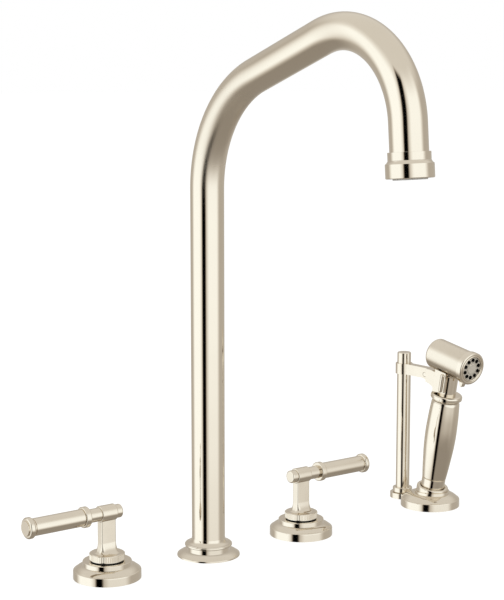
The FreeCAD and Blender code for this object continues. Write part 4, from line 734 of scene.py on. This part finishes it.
skin_point = joined(grip_form, "ShaderNodeCombineXYZ",
                    X=sum_of(grip_form, "MULTIPLY", reach, sum_of(grip_form, "COSINE", bearing)),
                    Y=sum_of(grip_form, "MULTIPLY", reach, sum_of(grip_form, "SINE", bearing)),
                    Z=sum_of(grip_form, "ADD", station, given["Foot"]))
shaped = joined(grip_form, "GeometryNodeSetPosition", Geometry=sheet.outputs["Mesh"], Position=skin_point.outputs[0])
seamless = joined(grip_form, "GeometryNodeMergeByDistance", Geometry=shaped.outputs[0], Distance=0.000001)
closed_off(grip_form, given, seamless.outputs[0])
lean = radians(10.5)
lean_foot = 0.001
lean_place = Matrix.Translation((spray_step, 0, lean_foot)) @ Matrix.Rotation(lean, 4, "X")
finished("spray_ferrule", "sprayer", nickel)
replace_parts(made("spray_grip_piece", grip_form, "sprayer", nickel, "polished_nickel", lean_place), "spray_grip")
finished("spray_collar", "sprayer", nickel, edge=0.0002)
finished("spray_neck", "sprayer", nickel)

# Sprayer head. A turned brass barrel with a softer polish. A threaded ring holds the grey moulded
# nozzle plate, whose ten jets are near-black cones with almost no reflection: painted shade for the dark holes.
soft_nickel = plated("soft_nickel", (0.790, 0.725, 0.625), (0.760, 0.695, 0.595), 0.15, 0.06, 0.02, 0.10)
plate_grey = moulded("nozzle_plate_grey", (0.74, 0.68, 0.57), (0.68, 0.62, 0.52), 0.36, 0.12, 0.01, 0.20)
# The jets' near-black colour and almost bare specular are painted shade that stands for the dark holes in the plate.
jet_rubber = moulded("jet_rubber", (0.004, 0.004, 0.003), (0.002, 0.002, 0.002), 0.65, 0.20, 0.004, 0.30)
jet_rubber.node_tree.nodes["Principled BSDF"].inputs["Specular IOR Level"].default_value = 0.02
finished("spray_head", "sprayer", soft_nickel, edge=0.0003)
finished("spray_face_ring", "sprayer", nickel, edge=0.0002)
finished("spray_nozzle_plate", "sprayer", plate_grey, edge=0.0002)
head_station = 0.144
head_place = (Matrix.Translation((spray_step, -head_station * sin(lean), lean_foot + head_station * cos(lean)))
              @ Matrix.Rotation(pi / 2 + lean, 4, "X") @ Matrix.Rotation(pi / 2, 4, "Z"))
jets, given = recipe("rubber_jets", {"Jets": 10, "Circle": 0.0083, "Jet": 0.00180, "Back": 0.0232, "Front": 0.0262,
                                     "Mouth": 0.00165})
ring = joined(jets, "GeometryNodeMeshCircle", Vertices=given["Jets"], Radius=given["Circle"])
depth = sum_of(jets, "SUBTRACT", given["Front"], given["Back"])
lifted = joined(jets, "GeometryNodeSetPosition", Geometry=ring.outputs[0],
                Offset=joined(jets, "ShaderNodeCombineXYZ", Z=given["Back"]).outputs[0])
jet = joined(jets, "GeometryNodeMeshCone", Vertices=24, Radius_Top=given["Mouth"], Radius_Bottom=given["Jet"],
             Depth=depth)
row = joined(jets, "GeometryNodeInstanceOnPoints", Points=lifted.outputs[0], Instance=jet.outputs["Mesh"])
closed_off(jets, given, row.outputs[0])
made("nozzle_jets", jets, "sprayer", jet_rubber, "rubber", head_place)
lip, given = recipe("rolled_lip", {"Circle": 0.0117, "Bead": 0.00095, "Level": 0.0257})
round_way = joined(lip, "GeometryNodeCurvePrimitiveCircle", Radius=given["Circle"], Resolution=96)
bead = joined(lip, "GeometryNodeCurvePrimitiveCircle", Radius=given["Bead"], Resolution=20)
rolled = joined(lip, "GeometryNodeCurveToMesh", Curve=round_way.outputs[0], Profile_Curve=bead.outputs[0])
raised = joined(lip, "GeometryNodeSetPosition", Geometry=rolled.outputs[0],
                Offset=joined(lip, "ShaderNodeCombineXYZ", Z=given["Level"]).outputs[0])
closed_off(lip, given, raised.outputs[0])
made("face_ring_lip", lip, "sprayer", nickel, "polished_nickel", head_place)

# Trigger and valve. A plated finger tab swings on a steel pin under the head. Its arm pushes a
# brass valve stem forward against a steel spring.
finished("spray_trigger", "trigger", nickel, edge=0.0004)
coloured("trigger_pin", steel)
coloured("spray_valve_stem", brass)
coloured("valve_spring", steel)

# Holder. A plated post screwed down on the ear from below carries a cast arm, and in the arm's slot
# a pinned bracket with a rounded front edge cradles the sprayer's neck.
finished("holder_post", "root", nickel, edge=0.0003)
finished("post_screw", "root", steel)
finished("holder_arm", "root", cast_nickel, edge=0.0007)
finished("neck_rest", "root", cast_nickel, edge=0.0007)
finished("neck_rest_pin", "root", nickel, edge=0.0004)
edging, given = recipe("cheek_bead", {"Bead": 0.0020, "Length": 0.0180})
upright = joined(edging, "GeometryNodeCurvePrimitiveLine",
                 End=joined(edging, "ShaderNodeCombineXYZ", Z=given["Length"]).outputs[0])
stations = joined(edging, "GeometryNodeResampleCurve", Curve=upright.outputs[0], Count=60)
share = edging.nodes.new("GeometryNodeSplineParameter").outputs["Length"]
to_end = sum_of(edging, "MINIMUM", share, sum_of(edging, "SUBTRACT", given["Length"], share))
short_of = sum_of(edging, "DIVIDE", sum_of(edging, "SUBTRACT", given["Bead"], to_end), given["Bead"])
short_of = sum_of(edging, "MAXIMUM", short_of, 0.0)
round_end = sum_of(edging, "SQRT", sum_of(edging, "SUBTRACT", 1.0, sum_of(edging, "MULTIPLY", short_of, short_of)))
tapered = joined(edging, "GeometryNodeSetCurveRadius", Curve=stations.outputs[0], Radius=round_end)
bead = joined(edging, "GeometryNodeCurvePrimitiveCircle", Radius=given["Bead"], Resolution=24)
swept = joined(edging, "GeometryNodeCurveToMesh", Curve=tapered.outputs[0], Profile_Curve=bead.outputs[0],
               Scale=round_end)
seamless = joined(edging, "GeometryNodeMergeByDistance", Geometry=swept.outputs[0], Distance=0.000001)
closed_off(edging, given, seamless.outputs[0])
cheek_foot = (0.2481, -0.0230, 0.1131)
made("cheek_bead", edging, "root", cast_nickel, "polished_nickel",
     Matrix.Translation(cheek_foot) @ Matrix.Rotation(lean, 4, "X"))
low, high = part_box("arm_set_screw")
middle = (spray_step, low[1], (low[2] + high[2]) / 2)
socket_screw("arm_set_screw", "root", 0.0015, high[1] - low[1], 0.0008, middle)

# What the plating mirrors. The board hides the brass under it, and the photograph shows no mirror
# image of the spout, so the levers with their hubs, the sprayer and its holder alone are mirrored.
board_top = -0.0005
bases_top = 0.010
spray_side = spray_step - 0.03
for piece in scene.objects:
    if piece.type == "MESH":
        low = Vector(piece.bound_box[0])
        lever = piece.name.startswith(("left_", "right_")) and low.z > bases_top
        holder = low.z > board_top and low.x > spray_side
        piece.visible_glossy = lever or holder
